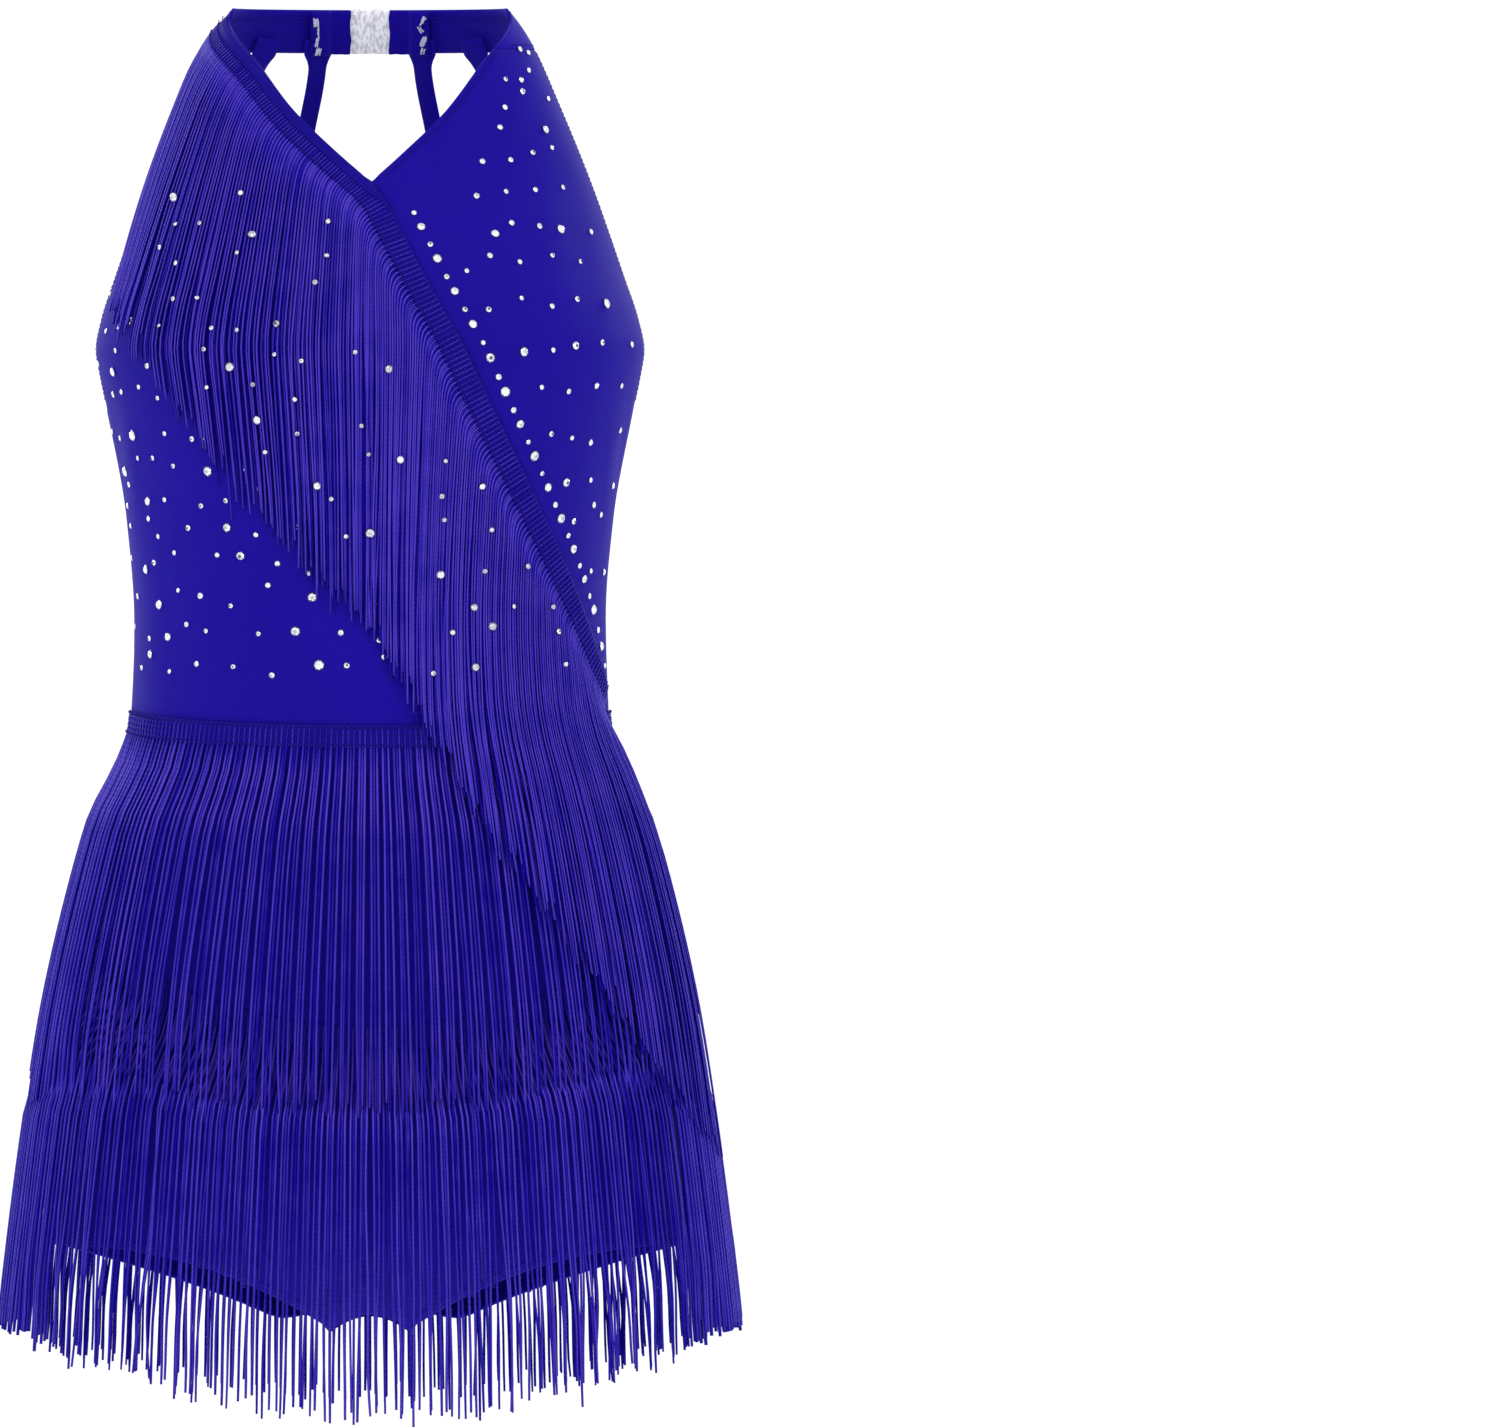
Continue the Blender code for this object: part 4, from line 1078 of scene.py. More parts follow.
class LEOTARD_OT_collar(bpy.types.Operator):
    """Sews the two halves of the neckband with their turned-back ends and tacks"""

    bl_idname = "leotard.collar"
    bl_label = "Neckband"

    def execute(self, context):
        thick = context.scene.leotard_cloth.collar_thickness / MM
        share = shares(14, 0.02)
        for name, sign in (("left", 1), ("right", -1)):
            column = shares(64, 0.004)
            height = self.rounded_rows(share, column)
            start = BODY.turn_at(NECK_REACH(height[:, 0]), height[:, 0])
            end = 180 - BODY.turn_at(CLASP_HALF_WIDTH + SEAM_GAP, height[:, -1])
            turn = mix(start[:, None], end[:, None], column) * sign
            turn, height = turn[:, ::sign], height[:, ::sign]
            crown = 0.3 * (1 - (2 * share - 1) ** 2)[:, None] - 0.2
            form = Form()
            add_shell(form, BODY.point(turn, height, crown), BODY.point(turn, height, -thick))
            band = form.make(f"collar_cloth_{name}", material("binding_knit"), "cloth", [f"collar_{name}"])
            tab = self.turned_end(name, sign, share)
        self.tacks()
        return {"FINISHED"}

    def rounded_rows(self, share, column):
        """Heights of the band's rows from top to bottom, with its front upper corner rounded off."""
        nose = np.maximum(0.0, 1 - column * COLLAR_LENGTH / COLLAR_CORNER)
        top = COLLAR_TOP - COLLAR_CORNER_DROP * nose**2.4
        return mix(top[None], COLLAR_SEAM - SEAM_GAP * 0.7, share[:, None])

    def turned_end(self, name, sign, share):
        """The band's end, turned back round the clasp's bar. It lies a little lumpy."""
        reach_in = np.array([step.reach for step in TAB])
        height = mix(COLLAR_TOP, COLLAR_SEAM, share)[:, None]
        along = shares(TAB_STEPS, 0.02)
        reach = np.interp(along, np.linspace(0, 1, len(TAB)), reach_in)
        inwards = np.interp(reach, reach_in, [step.inwards for step in TAB])
        padded = np.pad(inwards, TAB_SMOOTHING // 2, mode="edge")
        inwards = np.convolve(padded, np.ones(TAB_SMOOTHING) / TAB_SMOOTHING, mode="valid")
        edge = np.abs(2 * along - 1) ** 6
        wavy = reach + edge * (TAB_WAVE * np.sin(height * 0.42 + sign) + TAB_RIPPLE * np.sin(height * 1.1))
        lumps = TAB_LUMPS * np.sin(height * 0.8 + reach * 0.35 * sign) * np.sin(reach * 0.75 + height * 0.25)
        lumps = lumps + TAB_EDGE_LUMP * edge
        turn = sign * (180 - BODY.turn_at(wavy, height))
        turn, inwards = turn[:, ::-sign], (inwards + lumps)[:, ::-sign]
        rows = np.broadcast_to(height, turn.shape)
        form = Form()
        add_shell(form, BODY.point(turn, rows, -inwards), BODY.point(turn, rows, -inwards - TAB_WALL))
        return form.make(f"collar_end_{name}", material("binding_knit"), "trim", [f"collar_tab_{name}"])

    def tacks(self):
        """Pale threads that hold the fold ends down, and one inside the point of the vee."""
        rng = np.random.default_rng(TACK_SEED)
        form = Form()
        for knot in KNOTS:
            for strand in range(knot.strands):
                along = np.linspace(-0.5, 0.5, TACK_POINTS)
                height = knot.height + along * knot.length * rng.uniform(0.7, 1.1) + rng.uniform(-0.3, 0.3)
                wobble = rng.uniform(-1.2, 1.2) + rng.uniform(-0.3, 0.3, TACK_POINTS)
                reach = knot.reach + along * knot.length * knot.lean + wobble
                turn = knot.side * (180 - BODY.turn_at(reach, height))
                out = TACK_OUT - rng.uniform(0.0, TACK_LIFT) * np.cos(np.pi * along)
                self.tack(form, turn, height, out, TACK_HALF_WIDTH)
        for strand in range(VEE_TACKS):
            height = np.linspace(VEE - 4 - strand, VEE - 12 - rng.uniform(0, 3), TACK_POINTS)
            turn = rng.uniform(0.5, 3.5) + rng.uniform(-0.4, 0.4, TACK_POINTS)
            self.tack(form, turn, height, VEE_TACK_OUT, VEE_TACK_HALF_WIDTH)
        form.make("tack_threads", material("tack_thread"), "trim")

    def tack(self, form, turn, height, out, half_width):
        """One strand of a knot."""
        centres = BODY.point(turn, height, out)
        add_cords(form, centres[None], BODY.normal(turn, height)[None], half_width, sides=5)


class LEOTARD_OT_straps(bpy.types.Operator):
    """Makes the four narrow straps of the open back"""

    bl_idname = "leotard.straps"
    bl_label = "Back straps"

    def execute(self, context):
        half_width = context.scene.leotard_cloth.strap_width / MM / 2
        for name, route, sign in (
            ("outer_left", OUTER_STRAP, 1),
            ("inner_left", INNER_STRAP, 1),
            ("inner_right", INNER_STRAP, -1),
            ("outer_right", OUTER_STRAP, -1),
        ):
            top = np.linspace(0, STRAP_TOP_SHARE, STRAP_TOP_ROWS)
            share = np.concatenate([top, np.linspace(STRAP_TOP_SHARE, 1, STRAP_ROWS)[1:]])
            height = mix(route[0].height, route[-1].height, share)
            turn = 180 - sign * BODY.turn_at(Curve(route)(height), height)
            out = -mix(STRAP_TOP_IN, STRAP_BOTTOM_IN, ease(share)) - STRAP_HALF_WALL
            centres, normals = BODY.point(turn, height, out), BODY.normal(turn, height)
            flare = np.clip((height - COLLAR_SEAM + STRAP_FLARE_LENGTH) / STRAP_FLARE_LENGTH, 0, 1) ** 2
            width = half_width + STRAP_FLARE * flare
            form = Form()
            depth = np.full(len(share), STRAP_HALF_WALL)
            depth[[0, -1]] = STRAP_HALF_WALL / 2
            add_cords(form, centres[None], normals[None], width[None], depth[None], sides=20, square=0.45)
            form.make(f"back_strap_{name}", material("binding_knit"), "trim", [f"strap_{name}"])
        return {"FINISHED"}


class LEOTARD_OT_hems(bpy.types.Operator):
    """Turns the hems in along the neckline, armholes, back edge and leg openings"""

    bl_idname = "leotard.hems"
    bl_label = "Turned hems"

    def execute(self, context):
        cloth = context.scene.leotard_cloth
        self.thick, self.width = cloth.thickness / MM, cloth.hem_width / MM
        top = COLLAR_SEAM - SEAM_GAP
        neck = mix(top, VEE, shares(26, 0.01))
        edge = BODY.turn_at(NECK_REACH(neck), neck)
        self.strips("neckline", edge, edge + BODY.degrees(self.width, edge, neck), neck)
        arm = mix(top, ARMPIT + 4, shares(50, 0.005))
        side = np.full_like(arm, SIDE_TURN)
        self.strips("armhole", side - BODY.degrees(self.width, side, arm), side, arm)
        turn = mix(180 - SIDE_TURN, 180 + SIDE_TURN, shares(80, 0.003))
        height = back_edge_height(turn)
        self.band("back_edge_turning", "back_edge_hem", turn, height, height - self.width)
        for place, middle, crotch, leg_height in (
            ("front", 0, GUSSET_FRONT, leg_front_height),
            ("back", 180, GUSSET_BACK, leg_back_height),
        ):
            corner = math.degrees(math.asin(crotch / LEG_HALF_WIDTH))
            turn = mix(-SIDE_TURN, -corner, shares(50, 0.005))
            for half, turns in (("a", middle + turn), ("b", middle - turn[::-1])):
                height, leg = leg_height(turns), f"{place}_{half}"
                self.band(f"leg_turning_{leg}", f"leg_hem_{leg}", turns, height + self.width, height)
        return {"FINISHED"}

    def strips(self, edge, inner, outer, height):
        """Two hems that run down the body, between two lines of turns and between their mirror images."""
        for side, left, right in (("left", inner, outer), ("right", -outer, -inner)):
            turn = mix(left[:, None], right[:, None], shares(HEM_STEPS, HEM_RIM))
            rows = np.broadcast_to(height[:, None], turn.shape)
            self.turning(f"{edge}_turning_{side}", f"{edge}_hem_{side}", turn, rows)

    def band(self, name, node, turn, upper, lower):
        """A hem that runs round the body, between two lines of heights."""
        height = mix(upper[None], lower[None], shares(HEM_STEPS, HEM_RIM)[:, None])
        self.turning(name, node, np.broadcast_to(turn, height.shape), height)

    def turning(self, name, node, turn, height):
        """The turned layer lies inside the cloth and is pressed a little thinner."""
        form = Form()
        add_body_shell(form, turn, height, -self.thick - HEM_BEHIND, self.thick * HEM_PRESSED)
        form.make(name, material("knit"), "trim", [node])


# Clasp: its lips' outlines seen from above, and the rings up its height
HOOK_LIP = [(2.2, 1.2), (-1.6, 1.2), (-1.6, -0.3), (-0.4, -0.3), (-0.4, 0.3), (2.2, 0.3)]
EYE_LIP = [(1.6, -1.4), (1.6, -0.1), (0.3, -0.1), (0.3, -0.7), (-2.1, -0.7), (-2.1, 1.2)]
HOOK_END, EYE_END = 2.2, -2.1
PLATE_BACK = -1.4
PLATE_SHARP = 38
PlateRing = namedtuple("PlateRing", "share inset")
PLATE_RINGS = [
    PlateRing(-1.0, 0.25),
    PlateRing(-0.94, 0.0),
    PlateRing(-0.4, 0.0),
    PlateRing(0.4, 0.0),
    PlateRing(0.94, 0.0),
    PlateRing(1.0, 0.25),
]
RIBS, RIB_POINTS = 3, 25
RIB_FACE, RIB_RISE, RIB_START = 1.25, 0.42, 0.6


class LEOTARD_OT_clasp(bpy.types.Operator):
    """Moulds the two hooked plates of the clear clasp"""

    bl_idname = "leotard.clasp"
    bl_label = "Clasp"

    def execute(self, context):
        middle = (COLLAR_TOP + COLLAR_SEAM) / 2
        centre = BODY.point(180.0, middle, -1.0)
        out = BODY.normal(np.float64(180.0), np.float64(middle))
        up = unit(BODY.point(180.0, middle + 1) - BODY.point(180.0, middle - 1))
        edge = CLASP_HALF_WIDTH
        hook = [(edge, PLATE_BACK)] + self.ribs(edge, HOOK_END) + HOOK_LIP + [(HOOK_END, PLATE_BACK)]
        eye = [(-edge, PLATE_BACK)] + EYE_LIP + self.ribs(EYE_END, -edge)
        for name, profile in (("hook", hook), ("eye", eye)):
            profile = np.array(profile, float)
            mid = profile.mean(axis=0)
            rings = []
            for ring in PLATE_RINGS:
                flat = profile + np.sign(mid - profile) * np.minimum(ring.inset, np.abs(mid - profile))
                place = centre + up * ring.share * CLASP_HEIGHT / 2
                rings.append(place + flat[:, :1] * np.array([1.0, 0, 0]) + flat[:, 1:] * out)
            self.make(name, np.array(rings))
        return {"FINISHED"}

    def ribs(self, start, end):
        """Rounded ribs across a plate's face."""
        x = np.linspace(start, end, RIB_POINTS)
        wave = np.sin(np.abs(x - start) / abs(end - start) * RIBS * np.pi * 2 - RIB_START)
        return list(zip(x, RIB_FACE + RIB_RISE * np.maximum(0.0, wave)))

    def make(self, name, rings):
        """A closed solid through rings of points, with smooth faces and sharp edges."""
        shape = bmesh.new()
        corners = [[shape.verts.new(point * MM) for point in ring] for ring in rings]
        count = len(corners[0])
        for here, there in zip(corners, corners[1:]):
            for i in range(count):
                shape.faces.new([here[i], here[(i + 1) % count], there[(i + 1) % count], there[i]])
        shape.faces.new(corners[0][::-1])
        shape.faces.new(corners[-1])
        bmesh.ops.recalc_face_normals(shape, faces=shape.faces)
        mesh = bpy.data.meshes.new(f"clasp_plate_{name}")
        shape.to_mesh(mesh)
        shape.free()
        mesh.shade_smooth()
        mesh.set_sharp_from_angle(angle=math.radians(PLATE_SHARP))
        mesh.materials.append(material("clasp_plastic"))
        add_piece(f"clasp_plate_{name}", mesh, [f"clasp_{name}"])


# Fringe: a cord's rings, how it lies, spreads and is shaded, and how its tape is sewn
TAPE_RINGS = 9
HANG_RINGS = 19
CORD_SIDES = 6
LIE_OUT = 1.55
LIE_DEPTH = 0.5
TAPE_BACKING = 0.7
THREAD_OUT = 0.22
ZIGZAG_OUT = 0.42
LOOP_SQUEEZE = 0.6
TAPE_EDGE_OUT = 0.55
THREAD_REACH = 0.955
SIDE_THICKER = 0.4
CLUMP_SIZES = (3, 4, 4, 5, 6)
CALM_TURN = 16.0
CALM_FADE = 26.0
SOLID_TURN = 66.0
SOLID_FADE = 10.0
TONE_SPREAD = 0.2
TIP_IN = 2.0
EVEN_OUT = np.array([0.25, 0.0, -0.25])
UPPER_OUT, UNDER_IN, UNDER_LIES_IN = 0.3, 0.45, 0.8
# Level tiers: upper cords are painted a little lighter and under cords darker, painted light and painted
# shade between the layers.
UPPER_LIT, UNDER_SHADED = 0.08, 0.2
WAIST_OUT = 1.8
TAPE_TONE = 0.6
HOOK_RINGS = 3
# The first rings below the tape are painted lighter: a painted highlight where each cord bends down.
HOOK_HIGHLIGHT = 1.9
LONG_SHARE, LONGER = 0.012, (5, 20)
SHORT_SHARE, SHORTER = 0.03, (5, 16)
CORD_VARIES, TIP_THINNER = (0.88, 1.1), 0.9
CLUMP_RAGGED, CORD_RAGGED = 0.6, 0.7
SWAY_SPEED, SLOW_SWAY, QUICK_SWAY = (1.0, 2.6), 2.2, 5.0
LEAST_SWAY, SWAY_VARIES = 0.4, 0.5
SIDE_FLAT, SIDE_FLAT_PAST, SIDE_FLAT_FADE = 0.45, 0.6, 8.0
END_FLAT, END_FLAT_FADE = 0.35, 12.0
LEVEL_SEED, LAST_OWN_DRAW = 100, 3
LINE_POINTS = 361
PLACE_JITTER = 0.08
ROOT_BELOW = 0.8
HIDDEN_ENDS = (3, 14)
HANG_SPACING = 0.9
CALM_GATHER, GATHER_VARIES, GATHER_DONE = 0.12, (0.75, 1.1), 0.92
CALM_SWAY = 0.6
DEPTH_JITTER = 0.2
TIP_FROM, TIP_SPAN = 0.8, 0.2
WAIST_OUT_FROM, WAIST_OUT_FADE = 5.0, 20.0
TAPE_EDGE = 0.6
TAPE_ROWS = (0.0, TAPE_EDGE, TAPE_WIDTH / 2, TAPE_WIDTH - TAPE_EDGE, TAPE_WIDTH)
CROSS_THREADS = (2.6, 5.2, 7.8, 10.4)
LEVEL_TAPE_POINTS, LEVEL_TAPE_STEP, DIAGONAL_TAPE_STEP = 721, 2.5, 2.0
UPPER_ZIGZAG = 1.1

# The diagonal row: how its cords crowd, leave the tape, bend down and spread at the hip
NECKLINE_CROWD, VEE_CROWD = 1.4, 0.15
CROWD_ABOVE, CROWD_FADE, CROWD_REACH = 10.0, 20.0, 9.0
DIAGONAL_POINTS = 1201
EDGE_ROUNDING = 30
BINDING_NARROW = 0.9
BINDING_FADE = 16.0
DIAGONAL_SEED = 77
DIAGONAL_SHARES = np.concatenate([[0.006, 0.014, 0.024, 0.04], np.linspace(0.065, 1, 21)])
DIAGONAL_BEND = 4.2
DIAGONAL_LEAVE = 5.5
DIAGONAL_GATHER, DIAGONAL_VARIES = 0.2, (0.3, 1.3)
DIAGONAL_SWAY = 0.65
DIAGONAL_SPREAD = 0.26
DIAGONAL_DEPTH_JITTER = (-0.25, 0.35)
DIAGONAL_BLEND = 25.0
BINDING_SHARES = np.linspace(0.06, 1.0, 9)
BINDING_CROWN, BINDING_PAD, BINDING_SUNK = 0.6, 0.15, 0.3
BINDING_SEAMS, BINDING_SEAM_OUT = (0.3, 0.85), 1.9
UPPER_LAYER, UNDER_LAYER = 0.9, -0.3
# The under layer's tone is painted shade: its cords sit dark in the gaps between the upper ones.
UPPER_TONE, UNDER_SHADE_TONE = 0.82, 0.0
HIP_TURN, HIP_SPREAD, HIP_FALL = 58.0, 0.5, 90.0


def clumps(count, rng):
    """Which clump each cord of a row falls in."""
    sizes = []
    while sum(sizes) < count:
        sizes.append(rng.choice(CLUMP_SIZES))
    return np.repeat(np.arange(len(sizes)), sizes)[:count]


def gathered(values, which):
    """The mean of each clump's values, given back to each of its cords."""
    return (np.bincount(which, values) / np.bincount(which))[which]


def swayed(count, share, size, rng):
    """How far each cord wanders sideways, in millimetres: not at all at its root, and more as it falls."""
    phase, speed = rng.uniform(0, 2 * np.pi, (2, count, 1)), rng.uniform(*SWAY_SPEED, (2, count, 1))
    slow = np.sin(phase[0] + SLOW_SWAY * speed[0] * share) - np.sin(phase[0])
    quick = np.sin(phase[1] + QUICK_SWAY * speed[1] * share) - np.sin(phase[1])
    strength = size * (LEAST_SWAY + rng.exponential(SWAY_VARIES, count))[:, None]
    return (slow + 0.5 * quick) * strength * share


def ragged_ends(count, which, ragged, rng):
    """How much higher or lower than planned each cord ends."""
    by_clump = CLUMP_RAGGED * rng.standard_normal(which.max() + 1)[which]
    ends = ragged * (by_clump + CORD_RAGGED * rng.standard_normal(count))
    chance = rng.random(count)
    ends = np.where(chance < LONG_SHARE, -rng.uniform(*LONGER, count), ends)
    return np.where(chance > 1 - SHORT_SHARE, rng.uniform(*SHORTER, count), ends)


def add_hung_cords(form, lying, lying_out, centres, normals, cord, tones, rng):
    """Cords that lie flat and looped on their tape and then hang along the rings of centres."""
    count = len(centres)
    on_tape = BODY.point(lying[0], lying[1], lying_out)
    centres = np.concatenate([on_tape, centres], axis=1)
    normals = np.concatenate([BODY.normal(lying[0], lying[1]), normals], axis=1)
    width = (cord / 2 * rng.uniform(*CORD_VARIES, count))[:, None] * np.ones(centres.shape[1])
    depth = width.copy()
    width[:, 1:TAPE_RINGS:2] *= LOOP_SQUEEZE
    depth[:, :TAPE_RINGS] = LIE_DEPTH
    depth[:, 1:TAPE_RINGS:2] *= LOOP_SQUEEZE
    width[:, -1] *= TIP_THINNER
    depth[:, -1] *= TIP_THINNER
    shade = np.repeat(tones[:, None], centres.shape[1], axis=1)
    shade[:, :TAPE_RINGS] *= TAPE_TONE
    # A painted highlight on the bend just below the tape.
    shade[:, TAPE_RINGS : TAPE_RINGS + HOOK_RINGS] *= HOOK_HIGHLIGHT
    add_cords(form, centres, normals, width, depth, sides=CORD_SIDES, tones=shade)


def side_rise(aside):
    """A level tape flattens where it ends at the side seam."""
    return mix(SIDE_FLAT, 1.0, ease((SIDE_TURN + SIDE_FLAT_PAST - np.abs(aside)) / SIDE_FLAT_FADE))


def level_top(tier, turn):
    """Height of a level tape's upper edge."""
    if tier.top_middle is None:
        return waist_height(turn) + TAPE_ABOVE_SEAM
    level = np.abs(np.cos(np.radians(turn)))
    return mix(tier.top_side, tier.top_middle, level**TIER_BEND)


class LEOTARD_OT_level_fringes(bpy.types.Operator):
    """Hangs the level tiers of corded fringe round the skirt"""

    bl_idname = "leotard.level_fringes"
    bl_label = "Level fringes"

    def execute(self, context):
        for number, tier in enumerate(TIERS):
            # The two lowest tiers share their draws, so their strands hang behind each other
            rng = np.random.default_rng(LEVEL_SEED + min(number, LAST_OWN_DRAW))
            line = np.linspace(-SIDE_TURN, SIDE_TURN, LINE_POINTS)
            even, along = walk(line, level_top(tier, line), 1.0)[::2]
            count = int(along[-1] / tier.pitch)
            order = np.arange(count)
            place = order + 0.5 + EVEN_OUT[order % 3] + rng.uniform(-PLACE_JITTER, PLACE_JITTER, count)
            place = place / count
            aside = np.interp(place, np.linspace(0, 1, len(even)), even)
            turn = aside if tier.side == "front" else 180 - aside
            form = Form()
            self.hang(form, tier, turn, aside, rng)
            form.make(tier.name, material("cord"), "fringe", [tier.node])
        return {"FINISHED"}

    def hang(self, form, tier, turn, aside, rng):
        """The cords hang straight and even near the middle and gather into loose bundles to the sides."""
        count = len(turn)
        under = np.arange(count) % 3 == 1
        top = level_top(tier, turn)
        low = top - TAPE_WIDTH
        lying_height = mix((top - ROOT_BELOW)[:, None], low[:, None], np.linspace(0, 1, TAPE_RINGS))
        lying = np.broadcast_to(turn[:, None], lying_height.shape), lying_height
        which = clumps(count, rng)
        tip = low - tier.length + ragged_ends(count, which, tier.ragged, rng)
        off = np.abs(aside)
        loose = ease((off - CALM_TURN) / CALM_FADE) * ease((SOLID_TURN - off) / SOLID_FADE)
        edge = leg_front_height(turn) if tier.side == "front" else leg_back_height(turn)
        hidden = under & (off < CALM_TURN + CALM_FADE / 2)
        tip = np.where(hidden, np.maximum(tip, edge + rng.uniform(*HIDDEN_ENDS, count)), tip)
        share = np.linspace(0, 1, HANG_RINGS)[1:] ** HANG_SPACING
        height = low[:, None] + (tip - low)[:, None] * share
        gather = tier.gather * mix(CALM_GATHER, 1.0, loose) * rng.uniform(*GATHER_VARIES, count)
        pull = gather[:, None] * ease((share - tier.from_share) / (GATHER_DONE - tier.from_share))
        bent = mix(turn[:, None], gathered(turn, which)[:, None], pull)
        wander = swayed(count, share, tier.sway, rng) * mix(CALM_SWAY, 1.0, loose)[:, None]
        bent = bent + OUTSIDE.degrees(wander, bent, height)
        layer = np.where(np.arange(count) % 2, 0.5, -0.5)[:, None] * pull * tier.cord
        layer = layer + np.where(under, -UNDER_IN, UPPER_OUT)[:, None]
        depth = layer - Curve(tier.insets)(height) + rng.uniform(-DEPTH_JITTER, DEPTH_JITTER, count)[:, None]
        inwards = TIP_IN * ease((SOLID_TURN + SOLID_FADE - off) / SOLID_FADE)[:, None]
        depth = depth - inwards * ease((share - TIP_FROM) / TIP_SPAN)
        if tier.top_middle is None and tier.side == "front":
            depth = depth + WAIST_OUT * ease((-WAIST_OUT_FROM - turn) / WAIST_OUT_FADE)[:, None]
        blend = ease((low[:, None] - height) / ROOT_BLEND)[..., None]
        centres = mix(BODY.point(bent, height, LIE_OUT), OUTSIDE.point(bent, height, depth), blend)
        # Under cords take painted shade and upper ones a painted lift of light.
        tone = tier.tone + np.where(under, -UNDER_SHADED, UPPER_LIT)
        tones = np.clip(tone + TONE_SPREAD * rng.standard_normal(count), 0, 1)
        settled = mix(TAPE_EDGE_OUT, 1.0, ease(np.arange(TAPE_RINGS) / 2))
        lying_out = (LIE_OUT - UNDER_LIES_IN * under)[:, None] * settled
        lying_out = lying_out * side_rise(aside)[:, None]
        cord = tier.cord * (1 + SIDE_THICKER * ease((off - SOLID_TURN + SOLID_FADE) / SOLID_FADE))
        add_hung_cords(form, lying, lying_out, centres, OUTSIDE.normal(bent, height), cord, tones, rng)


def diagonal_edge(height):
    """The turn of the diagonal tape's upper edge."""
    return np.where(height > VEE, -BODY.turn_at(NECK_REACH(height), height), CROSSING_TURN(height))


def diagonal_places(step):
    """Places along the diagonal tape's upper edge, and the direction across the tape at each."""
    grid = np.linspace(0, 1, DIAGONAL_POINTS)
    height = mix(DIAGONAL_TOP, DIAGONAL_END, grid)
    edge = np.pad(diagonal_edge(height), EDGE_ROUNDING, mode="reflect", reflect_type="odd")
    edge = np.convolve(edge, np.ones(2 * EDGE_ROUNDING + 1) / (2 * EDGE_ROUNDING + 1), mode="valid")
    points = BODY.point(edge, height)
    above = height[1:] - VEE
    crowd = mix(1.0, NECKLINE_CROWD, ease((above + CROWD_ABOVE) / CROWD_FADE))
    crowd = crowd + VEE_CROWD * bell(above / CROWD_REACH)
    length = np.concatenate([[0.0], np.cumsum(np.linalg.norm(np.diff(points, axis=0), axis=-1) * crowd)])
    share = np.interp(np.arange(step / 2, length[-1], step), length, grid)

    def place(t):
        return BODY.point(np.interp(t, grid, edge), mix(DIAGONAL_TOP, DIAGONAL_END, np.clip(t, 0, 1)))

    run = place(share + DIAGONAL_AIM) - place(share - DIAGONAL_AIM)
    height = mix(DIAGONAL_TOP, DIAGONAL_END, share)
    turn = np.interp(share, grid, edge)
    across = unit(np.cross(run, BODY.normal(turn, height)))
    around = unit(BODY.bare(turn + 0.5, height) - BODY.bare(turn - 0.5, height))
    return turn, height, (across * around).sum(-1), across[:, 2]


def binding_width(height):
    """The plain binding on the neckline is wide above the vee and ends in a narrow edge below it."""
    return mix(BINDING_NARROW, DIAGONAL_BINDING, ease((height - VEE + BINDING_FADE) / BINDING_FADE))


def end_rise(height):
    """The tape thins out at its upper end, where it is sewn under the neckband's corner."""
    return mix(END_FLAT, 1.0, ease((DIAGONAL_TOP + 1 - height) / END_FLAT_FADE))


def diagonal_drop(turn):
    """How far a cord of the diagonal row hangs below its tape."""
    drops = sorted(DIAGONAL_DROPS)
    return np.interp(turn, [row.turn for row in drops], [row.drop for row in drops])


